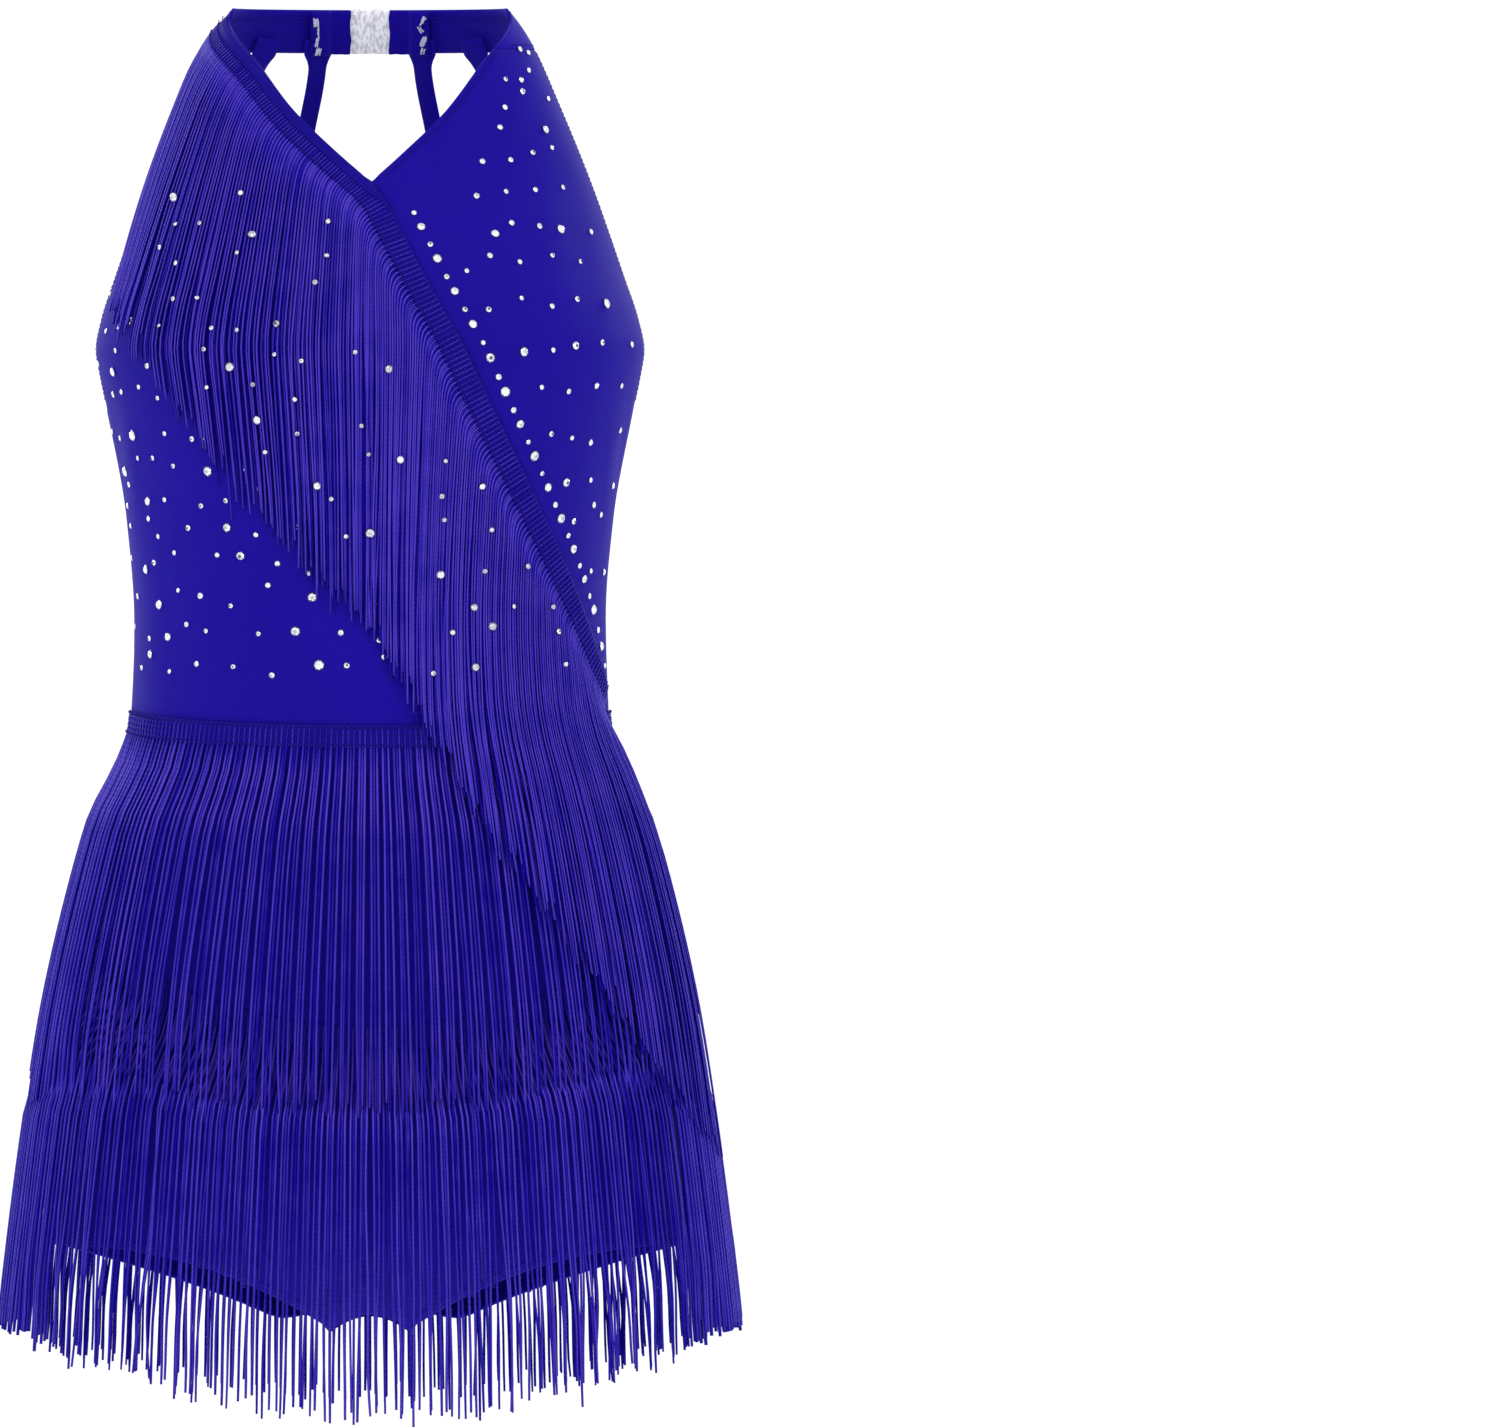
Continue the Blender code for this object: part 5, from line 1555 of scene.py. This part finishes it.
class LEOTARD_OT_diagonal_fringe(bpy.types.Operator):
    """Hangs the long fringe that crosses the front from the neckband to the far hip"""

    bl_idname = "leotard.diagonal_fringe"
    bl_label = "Diagonal fringe"

    def execute(self, context):
        settings = context.scene.leotard_fringe
        rng = np.random.default_rng(DIAGONAL_SEED)
        places = diagonal_places(settings.diagonal_pitch / MM)
        which = clumps(len(places[0]), rng)
        ends = ragged_ends(len(which), which, settings.ragged / MM, rng)
        form = Form()
        # The under layer is painted dark as shade between the upper cords.
        for first, layer, tone in ((0, UPPER_LAYER, UPPER_TONE), (1, UNDER_LAYER, UNDER_SHADE_TONE)):
            mine = [part[first::2] for part in places]
            self.hang(form, *mine, ends[first::2], layer, tone, settings.cord / MM, rng)
        form.make("diagonal_cords", material("cord"), "fringe", ["diagonal_fringe"])
        return {"FINISHED"}

    def hang(self, form, turn, height, around, fall, ends, layer, tone, cord, rng):
        """Each cord leaves its tape squarely, bends down within a few millimetres and hangs on the bodice."""
        count = len(turn)
        rows = mix(binding_width(height)[:, None], TAPE_WIDTH, np.linspace(0, 1, TAPE_RINGS))
        lying_turn = turn[:, None] + BODY.degrees(rows * around[:, None], turn[:, None], height[:, None])
        lying_turn = np.maximum(lying_turn, -DIAGONAL_SIDE_TURN)
        lying_height = height[:, None] + rows * fall[:, None]
        low_turn, low_height = lying_turn[:, -1:], lying_height[:, -1:]
        drop = diagonal_drop(low_turn[:, 0]) - ends
        share = DIAGONAL_SHARES
        path = share * drop[:, None]
        leave = 1 - np.exp(-path / DIAGONAL_BEND)
        turn = low_turn + BODY.degrees(DIAGONAL_LEAVE * leave * around[:, None], low_turn, low_height)
        height = low_height + fall[:, None] * DIAGONAL_LEAVE * leave - (path - DIAGONAL_BEND * leave)
        which = clumps(count, rng)
        pull = DIAGONAL_GATHER * share**1.5 * rng.uniform(*DIAGONAL_VARIES, count)[:, None]
        turn = mix(turn, gathered(turn[:, -1], which)[:, None], pull)
        turn = turn + OUTSIDE.degrees(swayed(count, share, DIAGONAL_SWAY, rng), turn, height)
        turn = np.maximum(turn, -DIAGONAL_SIDE_TURN)
        turn = turn + SETTLE * share * np.maximum(0.0, SETTLE_TURN - turn)
        turn = turn + HIP_SPREAD * ease(path / HIP_FALL) * np.maximum(0.0, turn - HIP_TURN)
        turn = np.minimum(turn, DIAGONAL_SIDE_TURN)
        depth = layer + rng.uniform(*DIAGONAL_DEPTH_JITTER, count)[:, None]
        blend = ease(path / DIAGONAL_BLEND)[..., None]
        centres = mix(BODY.point(turn, height, LIE_OUT), OUTSIDE.point(turn, height, depth), blend)
        tones = np.clip(tone + DIAGONAL_SPREAD * rng.standard_normal(count), 0, 1)
        lying_out = (LIE_OUT if layer > 0 else LIE_OUT - UNDER_LIES_IN) * end_rise(lying_height)
        normals = OUTSIDE.normal(turn, height)
        add_hung_cords(form, (lying_turn, lying_height), lying_out, centres, normals, cord, tones, rng)


class LEOTARD_OT_tapes(bpy.types.Operator):
    """Sews the fringe tapes, with their cross threads and zigzag rows"""

    bl_idname = "leotard.tapes"
    bl_label = "Fringe tapes"

    def execute(self, context):
        self.thread = context.scene.leotard_trim.thread / MM
        for tier in TIERS:
            middle = 0 if tier.side == "front" else 180
            line = middle + np.linspace(-SIDE_TURN, SIDE_TURN, LEVEL_TAPE_POINTS)
            turn, height = walk(line, level_top(tier, line), LEVEL_TAPE_STEP)[:2]
            form, threads = Form(), Form()
            height = height - np.array(TAPE_ROWS)[:, None]
            self.backing(form, np.broadcast_to(turn, height.shape), height, side_rise(turn - middle))
            name = tier.node.replace("_fringe_", "_tape_")
            form.make(name, material("tape_weave"), "fringe")
            if tier.top_middle is not None:
                continue
            line_turn = middle + THREAD_REACH * (line - middle)
            turn, height = walk(line_turn, level_top(tier, line), LEVEL_TAPE_STEP)[:2]
            for down in CROSS_THREADS:
                self.cross_thread(threads, turn, height - down)
            zigzags = (UPPER_ZIGZAG, LIE_OUT), (TAPE_WIDTH - TAPE_EDGE, LIE_OUT + ZIGZAG_OUT)
            for down, out in zigzags:
                add_stitches(threads, turn, height - down, out, 1.5, self.thread * 1.5, wave=0.85)
            threads.make(f"{name}_threads", material("thread"), "fringe")
        self.diagonal()
        return {"FINISHED"}

    def backing(self, form, turn, height, rise):
        """The woven tape itself, under its cords."""
        outer = BODY.point(turn, height, (TAPE_IN + TAPE_BACKING) * rise)
        inner = BODY.point(turn, height, TAPE_IN * rise)
        add_shell(form, outer, inner)

    def cross_thread(self, form, turn, height):
        """A thread woven along the tape, over the cords."""
        turn, height = walk(turn, height, 1.2)[:2]
        centres = BODY.point(turn, height, (LIE_OUT + THREAD_OUT) * end_rise(height))
        add_cords(form, centres[None], BODY.normal(turn, height)[None], self.thread / 2, sides=4)

    def diagonal(self):
        """The tape of the diagonal row, with a plain padded binding on its upper part."""
        turn, height, around, fall = diagonal_places(DIAGONAL_TAPE_STEP)

        def at(down, upto=None):
            """The line that lies so far down the tape from its upper edge."""
            place = (turn + BODY.degrees(down * around, turn, height))[:upto]
            return np.clip(place, -DIAGONAL_SIDE_TURN, DIAGONAL_SIDE_TURN), (height + down * fall)[:upto]

        def rows_at(downs, upto=None):
            """Several such lines as rows of turns and of heights."""
            places = [at(down, upto) for down in downs]
            return np.array([place[0] for place in places]), np.array([place[1] for place in places])

        form, threads = Form(), Form()
        turns, heights = rows_at([0.0, 0.5, TAPE_WIDTH / 2, TAPE_WIDTH - TAPE_EDGE, TAPE_WIDTH])
        self.backing(form, turns, heights, end_rise(heights))
        width = binding_width(height)
        plain = int(np.sum(height > VEE - BINDING_FADE))
        turns, heights = rows_at([0.0] + [width * share for share in BINDING_SHARES], plain)
        crown = BINDING_CROWN * np.sin(np.pi * np.linspace(0, 1, len(turns)))[:, None] ** 0.5
        rise = end_rise(heights)
        outer = BODY.point(turns, heights, (TAPE_IN + TAPE_BACKING + BINDING_PAD + crown) * rise)
        add_shell(form, outer, BODY.point(turns, heights, (TAPE_IN + TAPE_BACKING - BINDING_SUNK) * rise))
        form.make("diagonal_tape", material("tape_weave"), "fringe")
        for down in CROSS_THREADS[:2]:
            place, level = at(down)
            self.cross_thread(threads, place[plain:], level[plain:])
        for down in CROSS_THREADS[2:]:
            self.cross_thread(threads, *at(down))
        for share in BINDING_SEAMS:
            line = at(width * share, plain)
            add_stitches(threads, line[0], line[1], BINDING_SEAM_OUT, 2.4, self.thread * 1.1)
        line = at(TAPE_WIDTH - TAPE_EDGE)
        add_stitches(threads, line[0], line[1], LIE_OUT + ZIGZAG_OUT, 1.4, self.thread * 1.2, wave=0.6)
        threads.make("diagonal_tape_threads", material("thread"), "fringe")


# Stitching: how far out a row of stitches lies, and the rows along the neckband
STITCH_ON, STITCH_UNDER = 0.1, 0.9
BandSeam = namedtuple("BandSeam", "height out last_turn")
BAND_SEAMS = [
    BandSeam(COLLAR_SEAM + 2.2, 0.1, 171),
    BandSeam(COLLAR_TOP - 2.2, 0.1, 171),
    BandSeam(COLLAR_TOP - 3.6, -2.1, 154),
    BandSeam(COLLAR_TOP - 5.4, -2.1, 154),
]
BAND_SEAM_START = 8
LEG_SEAM_RISE = 4.6


class LEOTARD_OT_stitching(bpy.types.Operator):
    """Sews the visible seams: neckline, armholes, back edge, crossing seam, neckband and leg openings"""

    bl_idname = "leotard.stitching"
    bl_label = "Stitching"

    def execute(self, context):
        trim = context.scene.leotard_trim
        hem = context.scene.leotard_cloth.hem_width / MM
        inside = -context.scene.leotard_cloth.thickness / MM
        thread, stitch = trim.thread / MM, trim.stitch / MM
        form = Form()
        top = COLLAR_SEAM - SEAM_GAP
        neck = np.linspace(top - 1, VEE + 2, 60)
        edge = BODY.turn_at(NECK_REACH(neck), neck)
        for width in (hem - 1.0, hem - 2.6):
            line = edge + BODY.degrees(width, edge, neck)
            add_stitches(form, line, neck, STITCH_ON, stitch, thread)
            for sign in (1, -1):
                add_stitches(form, sign * line, neck, inside - STITCH_UNDER, stitch, thread)
        arm = np.linspace(top - 1, ARMPIT + 4, 80)
        side = np.full_like(arm, SIDE_TURN)
        line = side - BODY.degrees(hem - 1.2, side, arm)
        for sign in (1, -1):
            add_stitches(form, sign * line, arm, STITCH_ON, stitch, thread)
            add_stitches(form, sign * line, arm, inside - STITCH_UNDER, stitch, thread)
        turn = 180 + np.linspace(-86, 86, 240)
        add_stitches(form, turn, back_edge_height(turn) - 4.0, 0.12, 1.5, thread * 1.2, wave=1.0)
        crossing = np.linspace(VEE - 12, OVERLAP_END + 10, 90)
        for width in (3.0, -3.0):
            line = CROSSING_TURN(crossing) + BODY.degrees(width, CROSSING_TURN(crossing), crossing)
            add_stitches(form, line, dipped(line, crossing), inside - 0.25, stitch, thread)
        form.make("seam_stitches", material("thread"), "trim")
        self.neckband(thread, stitch)
        self.legs(thread, stitch)
        return {"FINISHED"}

    def neckband(self, thread, stitch):
        """Two rows outside and two inside, on each half of the band."""
        form = Form()
        for sign in (1, -1):
            for seam in BAND_SEAMS:
                start = float(BODY.turn_at(NECK_REACH(seam.height), seam.height)) + BAND_SEAM_START
                turn = sign * np.linspace(start, seam.last_turn, 120)
                height = np.full_like(turn, seam.height)
                add_stitches(form, turn, height, seam.out, stitch, thread, folded=False)
        form.make("neckband_stitches", material("thread"), "trim")

    def legs(self, thread, stitch):
        """A row above each leg opening's edge."""
        form = Form()
        for middle, crotch, leg_height in (
            (0, GUSSET_FRONT, leg_front_height),
            (180, GUSSET_BACK, leg_back_height),
        ):
            corner = math.degrees(math.asin(crotch / LEG_HALF_WIDTH))
            turn = np.linspace(-SIDE_TURN, -corner, 120)
            for line in (middle + turn, middle - turn):
                add_stitches(form, line, leg_height(line) + LEG_SEAM_RISE, STITCH_ON, stitch, thread)
        form.make("leg_stitches", material("thread"), "trim")


# Stones: rows of them on the overlap panel, by reach from the middle
StoneRow = namedtuple("StoneRow", "height first last count large")
CHEST_ROWS = [
    StoneRow(-11.5, 76, 82, 2, ()),
    StoneRow(-24, 73, 85, 3, ()),
    StoneRow(-37.5, 69, 90, 3, ()),
    StoneRow(-50, 68, 90, 2, (1,)),
    StoneRow(-66, 58, 96, 4, ()),
    StoneRow(-82, 53, 102, 4, ()),
    StoneRow(-104, 63, 113, 5, (0, 3)),
    StoneRow(-123, 50, 110, 5, ()),
    StoneRow(-143, 61, 125, 5, (4,)),
    StoneRow(-166, 79, 135, 5, (0, 2)),
    StoneRow(-187, 86, 131, 4, ()),
    StoneRow(-213, 94, 129, 4, ()),
    StoneRow(-233, 99, 124, 3, (0,)),
    StoneRow(-251, 106, 122, 3, ()),
    StoneRow(-280, 116, 121, 2, ()),
]
STONE_ON_CORDS = 1.75
# Tones for a stone's table facet: painted reflections, from bright to a dark centre.
TABLE_REFLECTIONS = (1.0, 1.0, 0.95, 0.7, 0.55, 0.12)
ROW_STONES = 29
ROW_OFFSET = 10.5
ROW_TOP = -94.0
ROW_BOTTOM = -326.0
STONE_SEED = 5
STONE_FACETS = 8
STONE_VARIES = (0.82, 1.08)
FRINGE_STONE_SMALLER = 0.88

# Rows of stones on the back, each rising from the middle to the sides, spaced evenly along the cloth
BackRow = namedtuple("BackRow", "height rise half_count step shifted large")
BACK_ROWS = [
    BackRow(-271.0, 28.0, 7, 19.0, True, (3,)),
    BackRow(-289.0, 26.0, 8, 17.5, False, (0, 4, 6)),
    BackRow(-309.0, 24.0, 8, 18.0, True, (2,)),
    BackRow(-321.0, 22.0, 8, 18.0, False, (3, 5)),
    BackRow(-336.0, 20.0, 9, 17.0, True, (7,)),
    BackRow(-355.0, 26.0, 9, 17.0, False, (0, 2, 6)),
    BackRow(-371.0, 30.0, 5, 19.0, True, ()),
]

# The scatter over the diagonal fringe and the cloth below it
SCATTER_ROW = 17.5
SCATTER_STEP = 19.0
SCATTER_TOP = -66.0
SCATTER_BOTTOM = -338.0
SCATTER_TURN_JITTER = 3.6
SCATTER_HEIGHT_JITTER = 6.0
FRINGE_KEEPS = 0.6
FRINGE_STONES_FROM = -60.0
Stone = namedtuple("Stone", "turn height large on_fringe")


def stone_shape(facets):
    """A flat-backed brilliant of unit radius, as rings of points: seat, girdle, facets and table."""
    girdle = np.radians(np.arange(2 * facets) * 360 / (2 * facets))
    table = np.radians((np.arange(facets) + 0.5) * 360 / facets)
    low = np.stack([np.cos(girdle), np.sin(girdle), np.zeros_like(girdle)], -1)
    rim = low + [0, 0, 0.16]
    low = low * [1.22, 1.22, 1.0]
    mid = np.stack([0.76 * np.cos(girdle[::2]), 0.76 * np.sin(girdle[::2]), np.full(facets, 0.44)], -1)
    top = np.stack([0.46 * np.cos(table), 0.46 * np.sin(table), np.full(facets, 0.58)], -1)
    return low, rim, mid, top


class LEOTARD_OT_stones(bpy.types.Operator):
    """Sets the stones on the bodice, the fringe and the low back"""

    bl_idname = "leotard.stones"
    bl_label = "Stones"

    def execute(self, context):
        trim = context.scene.leotard_trim
        self.small, self.large = trim.small_stone / MM, trim.large_stone / MM
        self.rng = np.random.default_rng(STONE_SEED)
        self.stones = []
        self.chest()
        self.scatter()
        self.back()
        self.build()
        return {"FINISHED"}

    def put(self, turn, height, large, on_fringe=False):
        """Notes a stone's place."""
        self.stones.append(Stone(float(turn), float(height), bool(large), bool(on_fringe)))

    def jitter(self, size):
        """A small uneven step either way."""
        return self.rng.uniform(-size, size)

    def chest(self):
        """A close row beside the diagonal tape, and looser rows over the overlap panel."""
        height = np.linspace(ROW_TOP, ROW_BOTTOM, 300)
        turn = CROSSING_TURN(height)
        turn = turn + BODY.degrees(ROW_OFFSET / 0.92, turn, height)
        line_turn, line_height, along = walk(turn, height, 0.5)
        for i in range(ROW_STONES):
            at = along[-1] * (i + (0.12 if i % 2 == 0 else 0.0)) / (ROW_STONES - 0.8)
            turn, height = np.interp(at, along, line_turn), np.interp(at, along, line_height)
            self.put(turn, dipped(0, height), i % 2 == 1)
        for row in CHEST_ROWS:
            for i in range(row.count):
                reach = mix(row.first, row.last, i / max(1, row.count - 1)) + self.jitter(3.0)
                height = row.height + self.jitter(4.0) + (i % 2) * 2.5
                self.put(BODY.turn_at(reach, height), height, i in row.large)

    def scatter(self):
        """Staggered rows over the wearer's right side, on whatever lies on top there."""
        number = 0
        for row, height in enumerate(np.arange(SCATTER_TOP, SCATTER_BOTTOM, -SCATTER_ROW)):
            step = float(BODY.degrees(SCATTER_STEP, np.float64(-45.0), height))
            turn = -82.0 + (step / 2 if row % 2 else 0)
            while turn < diagonal_edge(np.float64(height)) - 14:
                number += 1
                t, h = turn + self.jitter(SCATTER_TURN_JITTER), height + self.jitter(SCATTER_HEIGHT_JITTER)
                turn += step
                on_fringe = self.fringe_covers(t, h)
                if on_fringe and (self.rng.random() > FRINGE_KEEPS or t < FRINGE_STONES_FROM):
                    continue
                self.put(t, h, number % 9 in (0, 4), on_fringe)

    def fringe_covers(self, turn, height):
        """Whether the diagonal fringe hangs over a place."""
        heights = np.linspace(DIAGONAL_TOP, DIAGONAL_END, 400)
        tape = np.interp(turn, diagonal_edge(heights), heights)
        return height > tape - diagonal_drop(turn)

    def back(self):
        """Rows over the low back, the same on both sides."""
        for row in BACK_ROWS:
            for i in range(row.half_count):
                for sign in (1, -1):
                    if i == 0 and not row.shifted and sign < 0:
                        continue
                    reach = row.step * (i + (0.5 if row.shifted else 0.0))
                    turn = 180 - sign * float(BODY.degrees(reach, np.float64(180.0), row.height))
                    height = row.height + row.rise * (reach / 140) ** 1.8 + self.jitter(1.6)
                    if abs(turn - 180) < 86 and waist_height(turn) + 5 < height < back_edge_height(turn) - 8:
                        self.put(turn + self.jitter(0.6), height, i in row.large)

    def build(self):
        """Joins a faceted stone at each place into one mesh."""
        facets = STONE_FACETS
        template = np.concatenate(stone_shape(facets))
        a, b, c = 2 * facets, 4 * facets, 5 * facets
        faces = []
        for i in range(2 * facets):
            j = (i + 1) % (2 * facets)
            faces.append((i, j, a + j, a + i))
        for i in range(facets):
            j = (i + 1) % facets
            left, between, right = a + 2 * i, a + 2 * i + 1, a + (2 * i + 2) % (2 * facets)
            faces += [(left, between, b + i), (between, right, b + j), (between, b + j, c + i, b + i)]
            faces += [(b + j, c + j, c + i)]
        faces.append(tuple(c + i for i in range(facets)))
        faces.append(tuple(range(2 * facets))[::-1])
        rim_count, facet_count = 2 * facets, len(faces) - 2 * facets
        points, polygons, tones = [], [], []
        for stone in self.stones:
            width = self.large if stone.large else self.small
            radius = width / 2 * self.rng.uniform(*STONE_VARIES)
            radius = radius * (FRINGE_STONE_SMALLER if stone.on_fringe else 1.0)
            turn, height = np.float64(stone.turn), np.float64(stone.height)
            tube = OUTSIDE if stone.on_fringe else BODY
            lift = STONE_ON_CORDS if stone.on_fringe else float(cloth_rise(turn, height)) + 0.05
            tilt = 0.3 if stone.on_fringe else 0.09
            normal = unit(tube.normal(turn, height) + self.rng.uniform(-tilt, tilt, 3))
            side = unit(np.cross([0.0, 0.0, 1.0], normal))
            up = np.cross(normal, side)
            spin = self.rng.uniform(0, 2 * np.pi)
            first = side * math.cos(spin) + up * math.sin(spin)
            basis = np.stack([first, np.cross(normal, first), normal])
            start = len(points)
            points += list((tube.point(turn, height, lift) + radius * template @ basis) * MM)
            polygons += [tuple(start + i for i in face) for face in faces]
            # Each stone's shine scales its facets' painted reflections; on the fringe it is lower and more
            # uneven, painted shade on stones half hidden among the cords.
            shine = self.rng.uniform(0.45, 1.0) if stone.on_fringe else self.rng.uniform(0.85, 1.0)
            facet_reflections = shine * self.rng.uniform(0.86, 1.0, facet_count)
            facet_reflections[-2] = shine * self.rng.choice(TABLE_REFLECTIONS)
            # The rim round each stone's foot takes tone 0, the setting colour: a painted shadow ring.
            tones += [0.0] * rim_count + list(facet_reflections)
        mesh = bpy.data.meshes.new("stones")
        mesh.from_pydata([tuple(p) for p in points], [], polygons)
        mesh.attributes.new("tone", "FLOAT", "FACE").data.foreach_set("value", tones)
        mesh.materials.append(material("stone"))
        add_piece("stones", mesh)


# Stage, in metres: its backdrop, lamps and camera
BACKDROP_HALF_WIDTH, BACKDROP_COLUMNS = 22.0, 15
BACKDROP_FRONT = (-22.0, -9.0)
BACKDROP_BACK, BACKDROP_BEND, BACKDROP_BEND_STEPS = 19.0, 1.6, 13
BACKDROP_WALL = (5.0, 9.0)
PAPER = (0.93, 0.93, 0.935)
Lamp = namedtuple("Lamp", "name place aim size power")
LAMPS = [
    Lamp("key", (-1.3, -2.6, 1.5), (0, 0, -0.35), 1.6, 21.0),
    Lamp("fill", (1.9, -2.4, 0.4), (0, 0, -0.4), 1.8, 12.0),
    Lamp("back_left", (-1.6, 2.0, 1.0), (0, 0, -0.3), 1.2, 16.0),
    Lamp("back_right", (1.6, 2.0, 1.0), (0, 0, -0.3), 1.2, 16.0),
]
PICTURE_MIDDLE_HEIGHT = -0.354
PICTURE_MIDDLE_ASIDE = 0.1976
PICTURE_WIDTH = 0.78
SENSOR_WIDTH = 36.0


class LEOTARD_OT_stage(bpy.types.Operator):
    """Sets the pale floor, the backdrop, the soft lights and the camera"""

    bl_idname = "leotard.stage"
    bl_label = "Stage"

    def execute(self, context):
        stage = context.scene.leotard_stage
        self.backdrop(stage.floor_drop)
        self.lights(stage.light)
        self.camera(stage.distance)
        context.scene.view_settings.view_transform = "Standard"
        return {"FINISHED"}

    def backdrop(self, drop):
        """A floor that curves up into a wall behind, in one sheet."""
        start, bend = BACKDROP_BACK, BACKDROP_BEND
        profile = [(y, 0.0) for y in (*BACKDROP_FRONT, 0.0, start / 2, start)]
        for angle in np.linspace(0, 90, BACKDROP_BEND_STEPS)[1:]:
            turn = math.radians(angle)
            profile.append((start + bend * math.sin(turn), bend * (1 - math.cos(turn))))
        profile += [(start + bend, z) for z in BACKDROP_WALL]
        points, faces = [], []
        across = np.linspace(-BACKDROP_HALF_WIDTH, BACKDROP_HALF_WIDTH, BACKDROP_COLUMNS)
        for x in across:
            points += [(x, y, z - drop) for y, z in profile]
        rows = len(profile)
        for i in range(len(across) - 1):
            for j in range(rows - 1):
                faces.append((i * rows + j, (i + 1) * rows + j, (i + 1) * rows + j + 1, i * rows + j + 1))
        mesh = bpy.data.meshes.new("backdrop")
        mesh.from_pydata(points, [], faces)
        mesh.shade_smooth()
        mesh.materials.append(wall_finish("paper", PAPER))
        backdrop = bpy.data.objects.new("backdrop", mesh)
        bpy.context.scene.collection.objects.link(backdrop)

    def lights(self, strength):
        """An even white surround and four soft round lamps."""
        world = bpy.data.worlds.new("soft_surround")
        world.use_nodes = True
        background = world.node_tree.nodes["Background"]
        background.inputs["Color"].default_value = (1.0, 1.0, 1.0, 1.0)
        background.inputs["Strength"].default_value = strength
        bpy.context.scene.world = world
        for lamp in LAMPS:
            light = bpy.data.lights.new(lamp.name, "AREA")
            light.shape = "DISK"
            light.size = lamp.size
            light.energy = lamp.power
            thing = bpy.data.objects.new(lamp.name, light)
            place = Vector(lamp.place)
            thing.location = place
            thing.rotation_euler = (Vector(lamp.aim) - place).to_track_quat("-Z", "Y").to_euler()
            bpy.context.scene.collection.objects.link(thing)

    def camera(self, distance):
        """Level and straight in front, aimed aside so that the garment stands at the picture's left."""
        camera = bpy.data.cameras.new("camera")
        camera.sensor_width = SENSOR_WIDTH
        camera.lens = distance * camera.sensor_width / PICTURE_WIDTH
        thing = bpy.data.objects.new("camera", camera)
        place = Vector((0, -distance, PICTURE_MIDDLE_HEIGHT))
        aim = Vector((PICTURE_MIDDLE_ASIDE, 0, PICTURE_MIDDLE_HEIGHT))
        thing.location = place
        thing.rotation_euler = (aim - place).to_track_quat("-Z", "Y").to_euler()
        bpy.context.scene.collection.objects.link(thing)
        bpy.context.scene.camera = thing


# Panel and main

STEPS = (
    LEOTARD_OT_stage,
    LEOTARD_OT_front_panels,
    LEOTARD_OT_back_panel,
    LEOTARD_OT_briefs,
    LEOTARD_OT_collar,
    LEOTARD_OT_clasp,
    LEOTARD_OT_straps,
    LEOTARD_OT_hems,
    LEOTARD_OT_level_fringes,
    LEOTARD_OT_diagonal_fringe,
    LEOTARD_OT_tapes,
    LEOTARD_OT_stitching,
    LEOTARD_OT_stones,
)
SETTINGS = {
    "leotard_cloth": LeotardClothSettings,
    "leotard_fringe": LeotardFringeSettings,
    "leotard_trim": LeotardTrimSettings,
    "leotard_colours": LeotardColourSettings,
    "leotard_stage": LeotardStageSettings,
}


class LEOTARD_PT_panel(bpy.types.Panel):
    """Lists the settings and the steps"""

    bl_label = "Leotard"
    bl_idname = "LEOTARD_PT_panel"
    bl_space_type = "VIEW_3D"
    bl_region_type = "UI"
    bl_category = "Leotard"

    def draw(self, context):
        for name, group in SETTINGS.items():
            box = self.layout.box()
            for setting in group.__annotations__:
                box.prop(getattr(context.scene, name), setting)
        for step in STEPS:
            self.layout.operator(step.bl_idname)


def register():
    for group in SETTINGS.values():
        bpy.utils.register_class(group)
    for step in STEPS:
        bpy.utils.register_class(step)
    bpy.utils.register_class(LEOTARD_PT_panel)
    for name, group in SETTINGS.items():
        setattr(bpy.types.Scene, name, bpy.props.PointerProperty(type=group))


def unregister():
    for name in SETTINGS:
        delattr(bpy.types.Scene, name)
    bpy.utils.unregister_class(LEOTARD_PT_panel)
    for step in STEPS[::-1]:
        bpy.utils.unregister_class(step)
    for group in SETTINGS.values():
        bpy.utils.unregister_class(group)


def main():
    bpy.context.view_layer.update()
    register()
    for step in STEPS:
        group, name = step.bl_idname.split(".")
        getattr(getattr(bpy.ops, group), name)()


if __name__ == "__main__":
    main()
